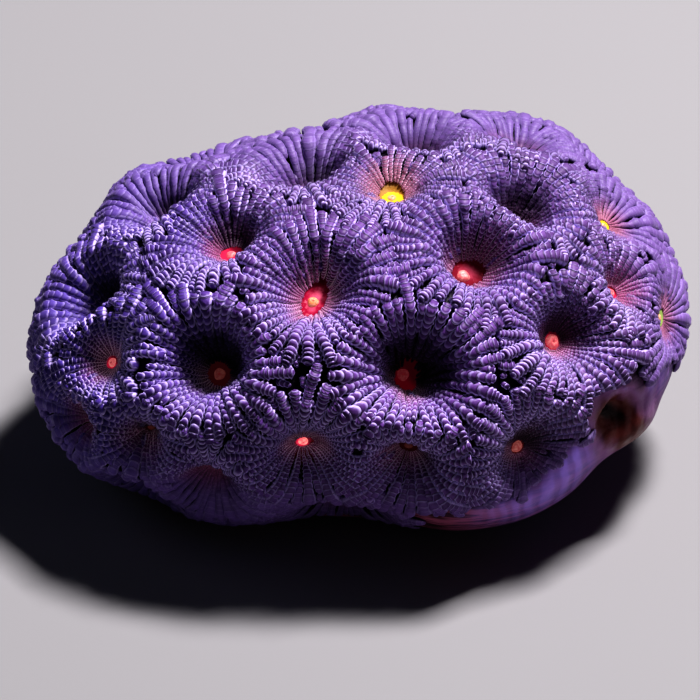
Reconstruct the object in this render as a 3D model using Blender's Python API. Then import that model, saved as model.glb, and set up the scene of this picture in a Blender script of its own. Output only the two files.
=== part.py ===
# Brain coral: one living colony, a low boulder of some fifty pits with shared, rounded walls.
# Ridges radiate from the mouth at the bottom of each pit and climb to the top of the wall.
# The colony is cut off flat underneath, where it grew on rock, and it stands on that cut.
# Metres, +Z up, the camera side of the photograph towards -Y. The origin is the middle of the
# flat cut.

import math
from collections import namedtuple

import bmesh
import bpy
import numpy as np
from mathutils import Vector
from mathutils.geometry import delaunay_2d_cdt

MM = 0.001

# Driving sizes of the colony: half its width, depth and full height as a whole boulder, and how
# far under the boulder's middle the flat cut lies.
HALF_SIZE = np.array([33.0, 26.0, 18.5]) * MM
CUT_DROP = 15.5 * MM

# Driving sizes of the relief.
RIDGE_HEIGHT = 0.8 * MM
RIDGES_PER_PIT = 16
LONGEST_REACH = 9.5 * MM  # a ridge runs at most this far from its mouth
OPENING = 6.2 * MM  # a pit's slope ends at most this far from its mouth; broad walls go on level
HIDDEN_SPACING = 9.2 * MM  # least distance between the pits that the photograph doesn't show
HIDDEN_FACING = 0.12  # they stand where the surface faces the camera less than this
ROUNDNESS = 1.75  # how broad the floors of the pits are; the walls are steepest about midway
MARGIN_BAND = 5.0 * MM  # the relief dies out over this height above the cut
BAND_START = 0.905  # the smooth band at the lower right starts at this share of the outline
LOWEST_PIT = 4.5 * MM  # no hidden pit's mouth is lower than this above the cut
NO_PITS = (math.radians(-60), math.radians(-8))  # no hidden pit stands on the smooth band at the
NO_PITS_FACING = -0.5  # lower right: between these angles, where the surface faces more than this

# The photograph: how steeply it looks down, metres to a pixel, and the pixel of the middle.
LOOKS_DOWN = math.radians(35)
PIXEL = 0.1 * MM
MIDDLE = (357, 315)

# The colony's outline in the photograph, in pixels, anticlockwise from the right.
OUTLINE = [
    (688, 320), (656, 219), (612, 157), (560, 124), (480, 106), (406, 99), (330, 117),
    (250, 136), (180, 151), (124, 173), (83, 228), (48, 282), (26, 359), (36, 401),
    (75, 470), (135, 494), (213, 522), (300, 516), (380, 519), (463, 530), (523, 519),
    (570, 493), (604, 452), (637, 442), (661, 402), (684, 357),
]

# The pits that show in the photograph: the pixel of the mouth, or of the middle of the opening
# where the mouth is hidden by the pit's own rim or stands at the colony's edge; how much further
# than usual the cell spreads; the pit's depth; and the share of its radius that is floor.
Pit = namedtuple("Pit", "across down spread depth floor")
MOUTHS_SEEN = [
    Pit(315, 300, 1.0 * MM, 3.6 * MM, 0.26),
    Pit(405, 379, 1.2 * MM, 6.0 * MM, 0.34),
    Pit(221, 373, 0.6 * MM, 5.6 * MM, 0.34),
    Pit(467, 272, 0.8 * MM, 4.8 * MM, 0.28),
    Pit(550, 341, 0.2 * MM, 4.4 * MM, 0.24),
    Pit(115, 362, 0.2 * MM, 2.4 * MM, 0.20),
    Pit(233, 254, 0.2 * MM, 3.8 * MM, 0.26),
    Pit(391, 199, -0.4 * MM, 2.4 * MM, 0.18),
    Pit(609, 293, -0.6 * MM, 2.4 * MM, 0.20),
    Pit(515, 446, 0.4 * MM, 2.8 * MM, 0.26),
    Pit(304, 441, 0.4 * MM, 2.8 * MM, 0.22),
    Pit(603, 226, -0.8 * MM, 1.5 * MM, 0.18),
    Pit(658, 318, -0.4 * MM, 1.2 * MM, 0.18),
]
OPENINGS_SEEN = [
    Pit(206, 494, 0.2 * MM, 3.4 * MM, 0.22),
    Pit(303, 157, 0.4 * MM, 4.8 * MM, 0.28),
    Pit(527, 191, 0.4 * MM, 4.8 * MM, 0.28),
    Pit(415, 126, 0.2 * MM, 4.4 * MM, 0.26),
    Pit(151, 191, 0.2 * MM, 4.8 * MM, 0.28),
    Pit(83, 289, 0.2 * MM, 5.2 * MM, 0.30),
    Pit(621, 423, -2.4 * MM, 2.2 * MM, 0.30),
    Pit(74, 424, -0.6 * MM, 2.6 * MM, 0.20),
    Pit(519, 127, 0.0 * MM, 3.0 * MM, 0.20),
    Pit(402, 470, 0.0 * MM, 3.4 * MM, 0.22),
    Pit(136, 446, -0.2 * MM, 3.4 * MM, 0.22),
]
PITS_SEEN = MOUTHS_SEEN + OPENINGS_SEEN
POCKET = len(MOUTHS_SEEN) + 6  # the smooth pocket at the right end of the band
HIDDEN_PIT = Pit(None, None, 0.0, 4.2 * MM, 0.24)

# The lines of corners that the solid is drawn through: shares of the way from mouth to wall.
RING_SHARES = (0.24, 0.54, 0.75, 0.94)
LONG_RIDGE = 6.3 * MM  # ridges that are longer than this have a corner at the third share too
FOOT_CORNERS = 64  # corners round the flat cut
SKIRT_HEIGHTS = (1.8 * MM, 4.2 * MM)  # lines of corners on the bare margin over the cut
LEAST_GAP = 0.55 * MM  # a corner on the margin keeps this far from the others
WIDEST_GAP = 1.5 * MM  # between the lines, corners are added until no place is further from one

# The photograph's right, up and towards-the-camera directions, in the colony's own axes.
RIGHT = np.array([1.0, 0.0, 0.0])
UP = np.array([0.0, math.sin(LOOKS_DOWN), math.cos(LOOKS_DOWN)])
TOWARDS = np.array([0.0, -math.cos(LOOKS_DOWN), math.sin(LOOKS_DOWN)])


def unit(vectors):
    """Each vector at length one."""
    return vectors / np.linalg.norm(vectors, axis=-1, keepdims=True)


def smooth(x):
    """0 below 0, 1 above 1, and an even S-curve between."""
    x = np.clip(x, 0, 1)
    return x * x * (3 - 2 * x)


def boulder_outline(angle):
    """The plain boulder's distance from the middle in the photograph, in each direction."""
    tall = math.hypot(HALF_SIZE[1] * math.sin(LOOKS_DOWN), HALF_SIZE[2] * math.cos(LOOKS_DOWN))
    return 1 / np.hypot(np.cos(angle) / HALF_SIZE[0], np.sin(angle) / tall)


def outline_stretch():
    """How far the real outline stands out of the plain boulder's, for each degree round it."""
    across = (np.array([p[0] for p in OUTLINE]) - MIDDLE[0]) * PIXEL
    up = (MIDDLE[1] - np.array([p[1] for p in OUTLINE])) * PIXEL
    angle = np.arctan2(up, across)
    stretch = np.hypot(across, up) / boulder_outline(angle)
    degrees = np.radians(np.arange(360))
    rough = np.interp(degrees, angle, stretch, period=2 * math.pi)
    softening = np.exp(-0.5 * (np.arange(-12, 13) / 3.0) ** 2)
    wrapped = np.concatenate([rough[-12:], rough, rough[:12]])
    return degrees, np.convolve(wrapped, softening / softening.sum(), "valid")


OUTLINE_ANGLES, OUTLINE_STRETCH = outline_stretch()


def skin(directions):
    """The smooth outer form: the boulder, stretched to the photograph's outline."""
    points = unit(directions) * HALF_SIZE
    across, up = points @ RIGHT, points @ UP
    angle = np.arctan2(up, across)
    edge_share = np.hypot(across, up) / boulder_outline(angle)
    stretch = np.interp(angle, OUTLINE_ANGLES, OUTLINE_STRETCH, period=2 * math.pi)
    return points * (1 + (stretch - 1) * edge_share**2)[..., None]


def on_skin(points):
    """The point of the skin on the line from the middle through each point."""
    return skin(points / HALF_SIZE)


def side_axes(normals):
    """Two directions along the surface for each normal."""
    first = unit(np.cross(np.array([0.0, 1.0, 0.0]), normals) + np.array([1e-9, 0.0, 0.0]))
    return first, np.cross(normals, first)


def skin_normals(directions):
    """Outward normals of the skin, from small steps along it."""
    first, second = side_axes(unit(directions))
    step = 2e-3
    rise_1 = skin(unit(directions) + step * first) - skin(unit(directions) - step * first)
    rise_2 = skin(unit(directions) + step * second) - skin(unit(directions) - step * second)
    return unit(np.cross(rise_1, rise_2))


def facing_point(across, up):
    """The point of the skin that the photograph shows at each place right of and above the middle."""
    towards = np.linspace(40 * MM, -30 * MM, 700)
    line = across[:, None, None] * RIGHT + up[:, None, None] * UP + towards[:, None] * TOWARDS
    outside = np.linalg.norm(line, axis=2) - np.linalg.norm(on_skin(line), axis=2)
    hit = np.where((outside < 0).any(axis=1), (outside < 0).argmax(axis=1), outside.argmin(axis=1))
    return on_skin(line[np.arange(len(line)), hit])


def seen_centres():
    """Where on the skin each pit of the photograph is centred, so that its mouth or its opening
    shows in place."""
    across = np.array([(p.across - MIDDLE[0]) * PIXEL for p in PITS_SEEN])
    up = np.array([(MIDDLE[1] - p.down) * PIXEL for p in PITS_SEEN])
    by_mouth = np.arange(len(PITS_SEEN)) < len(MOUTHS_SEEN)
    depth = np.array([p.depth for p in PITS_SEEN]) * by_mouth + RIDGE_HEIGHT * by_mouth
    shift_across, shift_up = np.zeros_like(across), np.zeros_like(up)
    for _ in range(6):
        centres = facing_point(across + shift_across, up + shift_up)
        sunk = depth[:, None] * skin_normals(centres / HALF_SIZE)
        shift_across, shift_up = (shift_across + sunk @ RIGHT) / 2, (shift_up + sunk @ UP) / 2
    return centres


def fibonacci_skin(count):
    """Evenly spread places on the skin: one golden turn and one step down after another."""
    turn = math.pi * (3 - math.sqrt(5))
    number = np.arange(count)
    height = 1 - 2 * (number + 0.5) / count
    flat = np.sqrt(1 - height**2)
    return skin(np.stack([flat * np.cos(turn * number), flat * np.sin(turn * number), height], 1))


def hidden_centres(centres):
    """Fills the rest of the colony: each new pit goes where there is most room, until there is none."""
    places = fibonacci_skin(3000)
    places = places[places[:, 2] > LOWEST_PIT - CUT_DROP]
    facing = skin_normals(places / HALF_SIZE) @ TOWARDS
    angle = np.arctan2(places @ UP, places @ RIGHT)
    band = (angle > NO_PITS[0]) & (angle < NO_PITS[1]) & (facing > NO_PITS_FACING)
    places = places[(facing < HIDDEN_FACING) & ~band]
    while True:
        room = np.linalg.norm(places[:, None] - centres[None], axis=2).min(axis=1)
        if room.max() < HIDDEN_SPACING:
            return centres
        centres = np.vstack([centres, places[room.argmax()]])


SEEN = seen_centres()
CENTRES = hidden_centres(SEEN)
PITS = PITS_SEEN + [HIDDEN_PIT] * (len(CENTRES) - len(SEEN))
SPREADS = np.array([p.spread for p in PITS])
DEPTHS = np.array([p.depth for p in PITS])
FLOORS = np.array([p.floor for p in PITS])


def owners(points):
    """For each point on the skin: the pit it belongs to, its distance from the mouth's axis, and
    about how far it is from the top of the wall."""
    distance = np.linalg.norm(points[:, None] - CENTRES[None], axis=2)
    ranked = np.argsort(distance - SPREADS, axis=1)[:, :2]
    rows = np.arange(len(points))
    mine, other = ranked[:, 0], ranked[:, 1]
    away = distance[rows, mine]
    to_neighbour = (distance[rows, other] - SPREADS[other] - away + SPREADS[mine]) / 2
    to_longest = LONGEST_REACH + SPREADS[mine] - away
    return mine, away, np.maximum(np.minimum(to_neighbour, to_longest), 0)


def smooth_band(points):
    """How far each point of the skin is onto the smooth band at the lower right, from 0 to 1."""
    across, up = points @ RIGHT, points @ UP
    angle = np.arctan2(up, across)
    stretch = np.interp(angle, OUTLINE_ANGLES, OUTLINE_STRETCH, period=2 * math.pi)
    share = np.hypot(across, up) / (boulder_outline(angle) * stretch)
    share = np.where(skin_normals(points / HALF_SIZE) @ TOWARDS < 0, 2 - share, share)
    angle = np.degrees(angle)
    window = smooth((angle + 80) / 12) * smooth((-6 - angle) / 12)
    right = smooth((angle + 52) / 12)
    start = BAND_START - 0.035 * right + 0.07 * smooth((angle + 24) / 10)
    band = smooth((share - start - 0.012 * np.sin(angle / 4)) / (0.04 + 0.06 * right))
    return band * window * (1 - right * smooth((share - 1.10) / 0.08))


def flesh(points):
    """How far the surface between the ridges lies under the skin, at each point of the skin."""
    mine, away, to_wall = owners(points)
    share = away / np.minimum(away + to_wall + 1e-9, OPENING + SPREADS[mine])
    climb = np.clip((share - FLOORS[mine]) / (1 - FLOORS[mine]), 0, 1)
    left = 1 - smooth_band(points)
    hollow = DEPTHS[mine] * (1 - np.sin(math.pi / 2 * climb) ** ROUNDNESS)
    sunk = RIDGE_HEIGHT * left + hollow * np.where(mine == POCKET, 1, left)
    return -sunk * smooth((points[:, 2] + CUT_DROP) / MARGIN_BAND)


def column_directions(pit):
    """The middle of a pit and the directions of its ridges and grooves in turn, along the skin."""
    centre = CENTRES[pit]
    first, second = side_axes(skin_normals(centre[None] / HALF_SIZE)[0])
    columns = 2 * RIDGES_PER_PIT
    angle = 2 * math.pi * np.arange(columns) / columns + 2.4 * pit
    return centre, np.cos(angle)[:, None] * first + np.sin(angle)[:, None] * second


def wall_distances(pit):
    """How far along each of those directions the top of the wall is."""
    centre, ways = column_directions(pit)
    steps = np.linspace(0.5 * MM, 17 * MM, 166)
    line = on_skin(centre + ways[:, None] * steps[:, None])
    mine, _, to_wall = owners(line.reshape(-1, 3))
    past = ((mine != pit) | (to_wall <= 0)).reshape(len(ways), len(steps))
    return steps[past.argmax(axis=1)]


def pit_corners(pit):
    """The corners of one pit's funnel, how far each is raised, and the ridge lines that join them:
    its middle, then a line of corners at each share of the way. The first line has a corner on every
    ridge alone, and the third one only on the long ridges and grooves."""
    centre, ways = column_directions(pit)
    reach = wall_distances(pit)
    ridge = np.arange(len(ways)) % 2 == 0
    every = np.ones(len(ways), bool)
    places, raised, lines, total = [centre[None]], [np.zeros(1)], [], 1
    last = np.full(len(ways), -1)
    for share, wanted in zip(RING_SHARES, (ridge, every, reach > LONG_RIDGE, every)):
        number = total + np.cumsum(wanted) - 1
        places.append(on_skin(centre + (ways * (share * reach)[:, None])[wanted]))
        raised.append(np.where(ridge & (share > RING_SHARES[0]), RIDGE_HEIGHT, 0.0)[wanted])
        joined = wanted & ridge & (last >= 0)
        lines += list(zip(last[joined].tolist(), number[joined].tolist()))
        if share > RING_SHARES[0]:
            last = np.where(wanted, number, last)
        total += int(wanted.sum())
    return np.vstack(places), np.concatenate(raised), lines


def foot_line(height):
    """A closed line of points on the skin at one height above the cut, by halving the interval."""
    angle = 2 * math.pi * np.arange(FOOT_CORNERS) / FOOT_CORNERS
    low, high = np.full(FOOT_CORNERS, -0.999), np.zeros(FOOT_CORNERS)
    for _ in range(40):
        tilt = (low + high) / 2
        flat = np.sqrt(1 - tilt**2)
        points = skin(np.stack([flat * np.cos(angle), flat * np.sin(angle), tilt], 1))
        above = points[:, 2] > height - CUT_DROP
        low, high = np.where(above, low, tilt), np.where(above, tilt, high)
    return points


def all_corners():
    """Every corner on the skin, how far it is raised, and the ridge lines that join some of them."""
    places, raised, lines = [foot_line(0.0)], [np.zeros(FOOT_CORNERS)], []
    total = FOOT_CORNERS
    for pit in range(len(CENTRES)):
        more, lift, joins = pit_corners(pit)
        lines += [(total + a, total + b) for a, b in joins]
        places.append(more)
        raised.append(lift)
        total += len(more)
    return np.vstack(places), np.concatenate(raised), lines


def coral_mesh():
    """The colony's surface: corners sunk from the skin by the relief and joined by triangles."""
    places, raised, lines = all_corners()
    raised = raised * (1 - smooth_band(places))
    placed = places + (flesh(places) + raised)[:, None] * skin_normals(places / HALF_SIZE)
    foot = np.arange(len(places)) < FOOT_CORNERS
    placed[foot] = places[foot]
    placed[:, 2] += CUT_DROP
    keep = foot | (placed[:, 2] > SKIRT_HEIGHTS[0])
    number = np.cumsum(keep) - 1
    lines = [(number[a], number[b]) for a, b in lines if keep[a] and keep[b]]
    places, placed = places[keep], placed[keep]

    spare = fibonacci_skin(9000)
    spare = spare[spare[:, 2] > SKIRT_HEIGHTS[1] - CUT_DROP]
    room = np.array([np.linalg.norm(places - place, axis=1).min() for place in spare])
    while room.max() > WIDEST_GAP:
        more = spare[room.argmax()][None]
        lift = flesh(more) + 0.5 * RIDGE_HEIGHT * (1 - smooth_band(more))
        put = more + lift[:, None] * skin_normals(more / HALF_SIZE)
        put[:, 2] += CUT_DROP
        places, placed = np.vstack([places, more]), np.vstack([placed, put])
        room = np.minimum(room, np.linalg.norm(spare - more, axis=1))

    for height in SKIRT_HEIGHTS:
        more = foot_line(height)
        put = more + flesh(more)[:, None] * skin_normals(more / HALF_SIZE)
        put[:, 2] += CUT_DROP
        free = np.linalg.norm(put[:, None] - placed[None], axis=2).min(axis=1) > LEAST_GAP
        places, placed = np.vstack([places, more[free]]), np.vstack([placed, put[free]])

    # Triangles come from a plane map of the directions, seen from under the cut.
    ways = unit(places / HALF_SIZE)
    plane = ways[:, :2] / (1 + ways[:, 2:])
    rim = [(k, (k + 1) % FOOT_CORNERS) for k in range(FOOT_CORNERS)]
    _, _, faces, origins, _, _ = delaunay_2d_cdt(
        [Vector(p) for p in plane], rim + lines, [], 1, 1e-7
    )
    faces = [tuple(origins[v][0] for v in face) for face in faces]
    faces.append(tuple(reversed(range(FOOT_CORNERS))))

    mesh = bpy.data.meshes.new("coral_head")
    mesh.from_pydata(placed.tolist(), [], faces)
    return mesh


def tidy(mesh):
    """Turns every face outwards and centres the colony on the origin."""
    work = bmesh.new()
    work.from_mesh(mesh)
    loose = [v for v in work.verts if not v.link_faces]
    bmesh.ops.delete(work, geom=loose, context="VERTS")
    bmesh.ops.recalc_face_normals(work, faces=work.faces)
    corners = np.array([v.co[:] for v in work.verts])
    middle = (corners.min(axis=0) + corners.max(axis=0)) / 2
    bmesh.ops.translate(work, verts=work.verts, vec=(-middle[0], -middle[1], 0))
    work.to_mesh(mesh)
    work.free()


def living_skin():
    """Violet living tissue, damp and half matt."""
    material = bpy.data.materials.new("violet_flesh")
    material.use_nodes = True
    shader = material.node_tree.nodes["Principled BSDF"]
    shader.inputs["Base Color"].default_value = (0.20, 0.13, 0.42, 1.0)
    shader.inputs["Roughness"].default_value = 0.45
    shader.inputs["Metallic"].default_value = 0.0
    return material


def main():
    for old in list(bpy.data.objects):
        bpy.data.objects.remove(old)
    colony = bpy.data.collections.new("brain_coral")
    bpy.context.scene.collection.children.link(colony)
    mesh = coral_mesh()
    tidy(mesh)
    mesh.materials.append(living_skin())
    colony.objects.link(bpy.data.objects.new("coral_head", mesh))


main()
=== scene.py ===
"""Looks of a living brain coral: near-black flesh as painted shade between the ridges, beaded
violet ridges, glowing mouths, floor and light.

The colony is a low boulder with nearly fifty funnel-shaped pits. Beaded ridges climb from the
mouth at the bottom of each pit to the top of the wall that it shares with its neighbours.
Everything is in metres, with +Z up, the camera's side towards -Y, and the flat cut under the
colony at z = 0. The flesh takes the solid's place, and the ridges and mouths lie on the flesh.
"""

import logging
import math
from dataclasses import dataclass, field
from enum import Enum

import bpy
import numpy as np
from numpy.typing import NDArray
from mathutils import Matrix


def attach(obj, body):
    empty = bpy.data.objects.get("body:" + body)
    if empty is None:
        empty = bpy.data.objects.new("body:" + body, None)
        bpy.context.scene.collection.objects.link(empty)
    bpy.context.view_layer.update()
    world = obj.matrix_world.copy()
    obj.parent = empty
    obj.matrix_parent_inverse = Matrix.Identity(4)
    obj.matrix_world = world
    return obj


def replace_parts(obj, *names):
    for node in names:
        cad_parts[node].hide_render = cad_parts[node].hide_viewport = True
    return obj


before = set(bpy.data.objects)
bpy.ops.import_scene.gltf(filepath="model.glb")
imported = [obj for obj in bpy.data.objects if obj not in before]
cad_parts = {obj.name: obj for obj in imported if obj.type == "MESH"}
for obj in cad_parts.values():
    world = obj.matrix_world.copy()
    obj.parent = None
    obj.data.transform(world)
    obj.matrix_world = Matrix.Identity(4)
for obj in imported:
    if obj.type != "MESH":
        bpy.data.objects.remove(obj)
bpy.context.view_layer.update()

MM = 0.001
NODE = "coral_head"

Array = NDArray[np.float64]
Whole = NDArray[np.int64]
Colour = tuple[float, float, float]
Pair = tuple[float, float]
Span = tuple[float, float, float, float]

logger = logging.getLogger("brain_coral")


def unit(vectors: Array) -> Array:
    """Each vector divided by its own length."""
    return vectors / np.linalg.norm(vectors, axis=-1, keepdims=True)


def smooth(x: Array) -> Array:
    """An even S-curve from 0 to 1: three times the square less twice the cube."""
    x = np.clip(x, 0.0, 1.0)
    return x * x * (3 - 2 * x)


def rise(x: Array, start: float, length: float) -> Array:
    """An S-curve of x that starts at a value and reaches 1 a length further on."""
    return smooth((x - start) / length)


def fall(x: Array, start: float, length: float) -> Array:
    """An S-curve of x that leaves 1 at a value and reaches 0 a length further on."""
    return 1 - rise(x, start, length)


def dot(a: Array, b: Array) -> Array:
    """The scalar product of each pair of vectors."""
    return (a * b).sum(axis=-1)


class Glow(Enum):
    """The colour that a mouth glows in. Its value is a place on the mouths' colour ramp."""

    RED = 0.05
    CRIMSON = 0.15
    PINK = 0.25
    ORANGE = 0.45
    YELLOW = 0.65
    GREEN = 0.80
    BROWN = 0.95


@dataclass(frozen=True)
class Pit:
    """One pit, given by the photograph's pixel of its mouth or of the middle of its opening.

    by_mouth says which of them. spread is how much further than usual its cell reaches and depth
    is its depth, both in mm.
    floor is the share of its radius that is floor. disc is the radius of its disc in mm, which
    stretch and turn (in degrees) make longer one way. bead is the radius of its mouth in mm, and
    bead_at is how far right of and above the disc's middle it sits. shine is how brightly both
    glow and pale is how pale the mouth is. The last number but one is how much painted shade
    darkens the pit's deep upper wall, as a shadow would. A pit that isn't ridged is a smooth pocket.
    """

    across: float
    down: float
    spread: float
    depth: float
    floor: float
    glow: Glow = Glow.RED
    by_mouth: bool = True
    disc: float = 1.1
    stretch: float = 1.1
    turn: float = 0.0
    bead: float = 0.45
    bead_at: Pair = (0.0, 0.0)
    shine: float = 0.35
    pale: float = 0.4
    # how much painted shade darkens the pit's deep upper wall, from none at 0
    painted_shade: float = 1.0
    ridged: bool = True


# The pits that the photograph shows, each at its own pixel.
SEEN_PITS = (
    Pit(315, 300, 1.0, 3.6, 0.26, Glow.CRIMSON, disc=1.90,
        stretch=2.20, turn=66, bead=0.58, bead_at=(-0.1, -0.2), shine=0.27, pale=0.9, painted_shade=0.3),
    Pit(405, 379, 1.2, 6.0, 0.34, Glow.RED, disc=1.85,
        stretch=1.65, turn=84, bead=0.62, bead_at=(-0.2, 0.6), pale=0.12),
    Pit(221, 373, 0.6, 5.6, 0.34, Glow.BROWN, disc=1.45,
        stretch=1.15, turn=90, bead=0.62, shine=0.30, pale=0.15),
    Pit(467, 272, 0.8, 4.8, 0.28, Glow.RED, disc=1.95,
        stretch=1.20, turn=10, bead=0.68, bead_at=(-0.6, -0.6), shine=0.22, pale=0.7, painted_shade=0.6),
    Pit(550, 341, 0.2, 4.4, 0.24, Glow.PINK, disc=1.15,
        stretch=1.20, turn=110, bead=0.78, shine=0.40, pale=0.6, painted_shade=0.9),
    Pit(115, 362, 0.2, 2.4, 0.20, Glow.PINK, disc=0.85, bead=0.50, shine=0.5, pale=0.78, painted_shade=0.2),
    Pit(233, 254, 0.2, 3.8, 0.26, Glow.PINK, disc=1.35,
        stretch=1.25, turn=20, bead=0.50, shine=0.45, pale=0.6),
    Pit(391, 199, -0.4, 2.4, 0.18, Glow.YELLOW, disc=1.80,
        stretch=1.30, turn=95, bead=0.45, pale=0.7, painted_shade=0.0),
    Pit(609, 293, -0.6, 2.4, 0.20, Glow.PINK, disc=0.80, bead=0.48, shine=0.5, pale=0.6, painted_shade=0.2),
    Pit(515, 446, 0.4, 2.8, 0.26, Glow.BROWN, bead=0.66, shine=0.45, pale=0.30),
    Pit(304, 441, 0.4, 2.8, 0.22, Glow.PINK, disc=0.80, bead=0.52, shine=0.9, pale=0.8, painted_shade=0.4),
    Pit(603, 226, -0.8, 1.5, 0.18, Glow.YELLOW, disc=0.75,
        stretch=1.20, turn=60, bead=0.36, pale=0.6, painted_shade=0.0),
    Pit(658, 318, -0.4, 1.2, 0.18, Glow.GREEN, stretch=1.40, turn=90, bead=0.36, pale=0.5, painted_shade=0.0),
    Pit(206, 494, 0.2, 3.4, 0.22, Glow.RED, by_mouth=False),
    Pit(303, 157, 0.4, 4.8, 0.28, Glow.RED, by_mouth=False),
    Pit(527, 191, 0.4, 4.8, 0.28, Glow.BROWN, by_mouth=False),
    Pit(415, 126, 0.2, 4.4, 0.26, Glow.PINK, by_mouth=False),
    Pit(151, 191, 0.2, 4.8, 0.28, Glow.RED, by_mouth=False),
    Pit(83, 289, 0.2, 5.2, 0.30, Glow.RED, by_mouth=False),
    Pit(621, 423, -2.4, 2.2, 0.30, Glow.BROWN, by_mouth=False, ridged=False),
    Pit(74, 424, -0.6, 2.6, 0.20, Glow.BROWN, by_mouth=False, bead=0.40),
    Pit(519, 127, 0.0, 3.0, 0.20, Glow.GREEN, by_mouth=False),
    Pit(402, 470, 0.0, 3.4, 0.22, Glow.BROWN, by_mouth=False, shine=0.1, pale=0.1),
    Pit(136, 446, -0.2, 3.4, 0.22, Glow.BROWN, by_mouth=False, shine=0.1, pale=0.1),
)

# The colony's outline in the photograph, in pixels, anticlockwise from the right.
OUTLINE = (
    (688, 320), (656, 219), (612, 157), (560, 124), (480, 106), (406, 99), (330, 117),
    (250, 136), (180, 151), (124, 173), (83, 228), (48, 282), (26, 359), (36, 401),
    (75, 470), (135, 494), (213, 522), (300, 516), (380, 519), (463, 530), (523, 519),
    (570, 493), (604, 452), (637, 442), (661, 402), (684, 357),
)


@dataclass(frozen=True)
class Photo:
    """How the photograph sees the colony: its tilt, its scale and the pixel of the boulder's middle."""

    looks_down: float = math.radians(35)
    pixel: float = 0.1 * MM
    middle: Pair = (357.0, 315.0)
    width: int = 700
    right: Array = field(default_factory=lambda: np.array([1.0, 0.0, 0.0]))

    @property
    def up(self) -> Array:
        """The photograph's upward direction."""
        return np.array([0.0, math.sin(self.looks_down), math.cos(self.looks_down)])

    @property
    def towards(self) -> Array:
        """The direction from the colony to the camera."""
        return np.array([0.0, -math.cos(self.looks_down), math.sin(self.looks_down)])

    def offsets(self, pixels: Array) -> tuple[Array, Array]:
        """How far right of and above the middle each pixel is.

        Args:
            pixels: pairs of pixel numbers, across and down.

        Returns:
            The distances to the right and upwards, in metres.
        """
        return (pixels[:, 0] - self.middle[0]) * self.pixel, (self.middle[1] - pixels[:, 1]) * self.pixel


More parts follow.
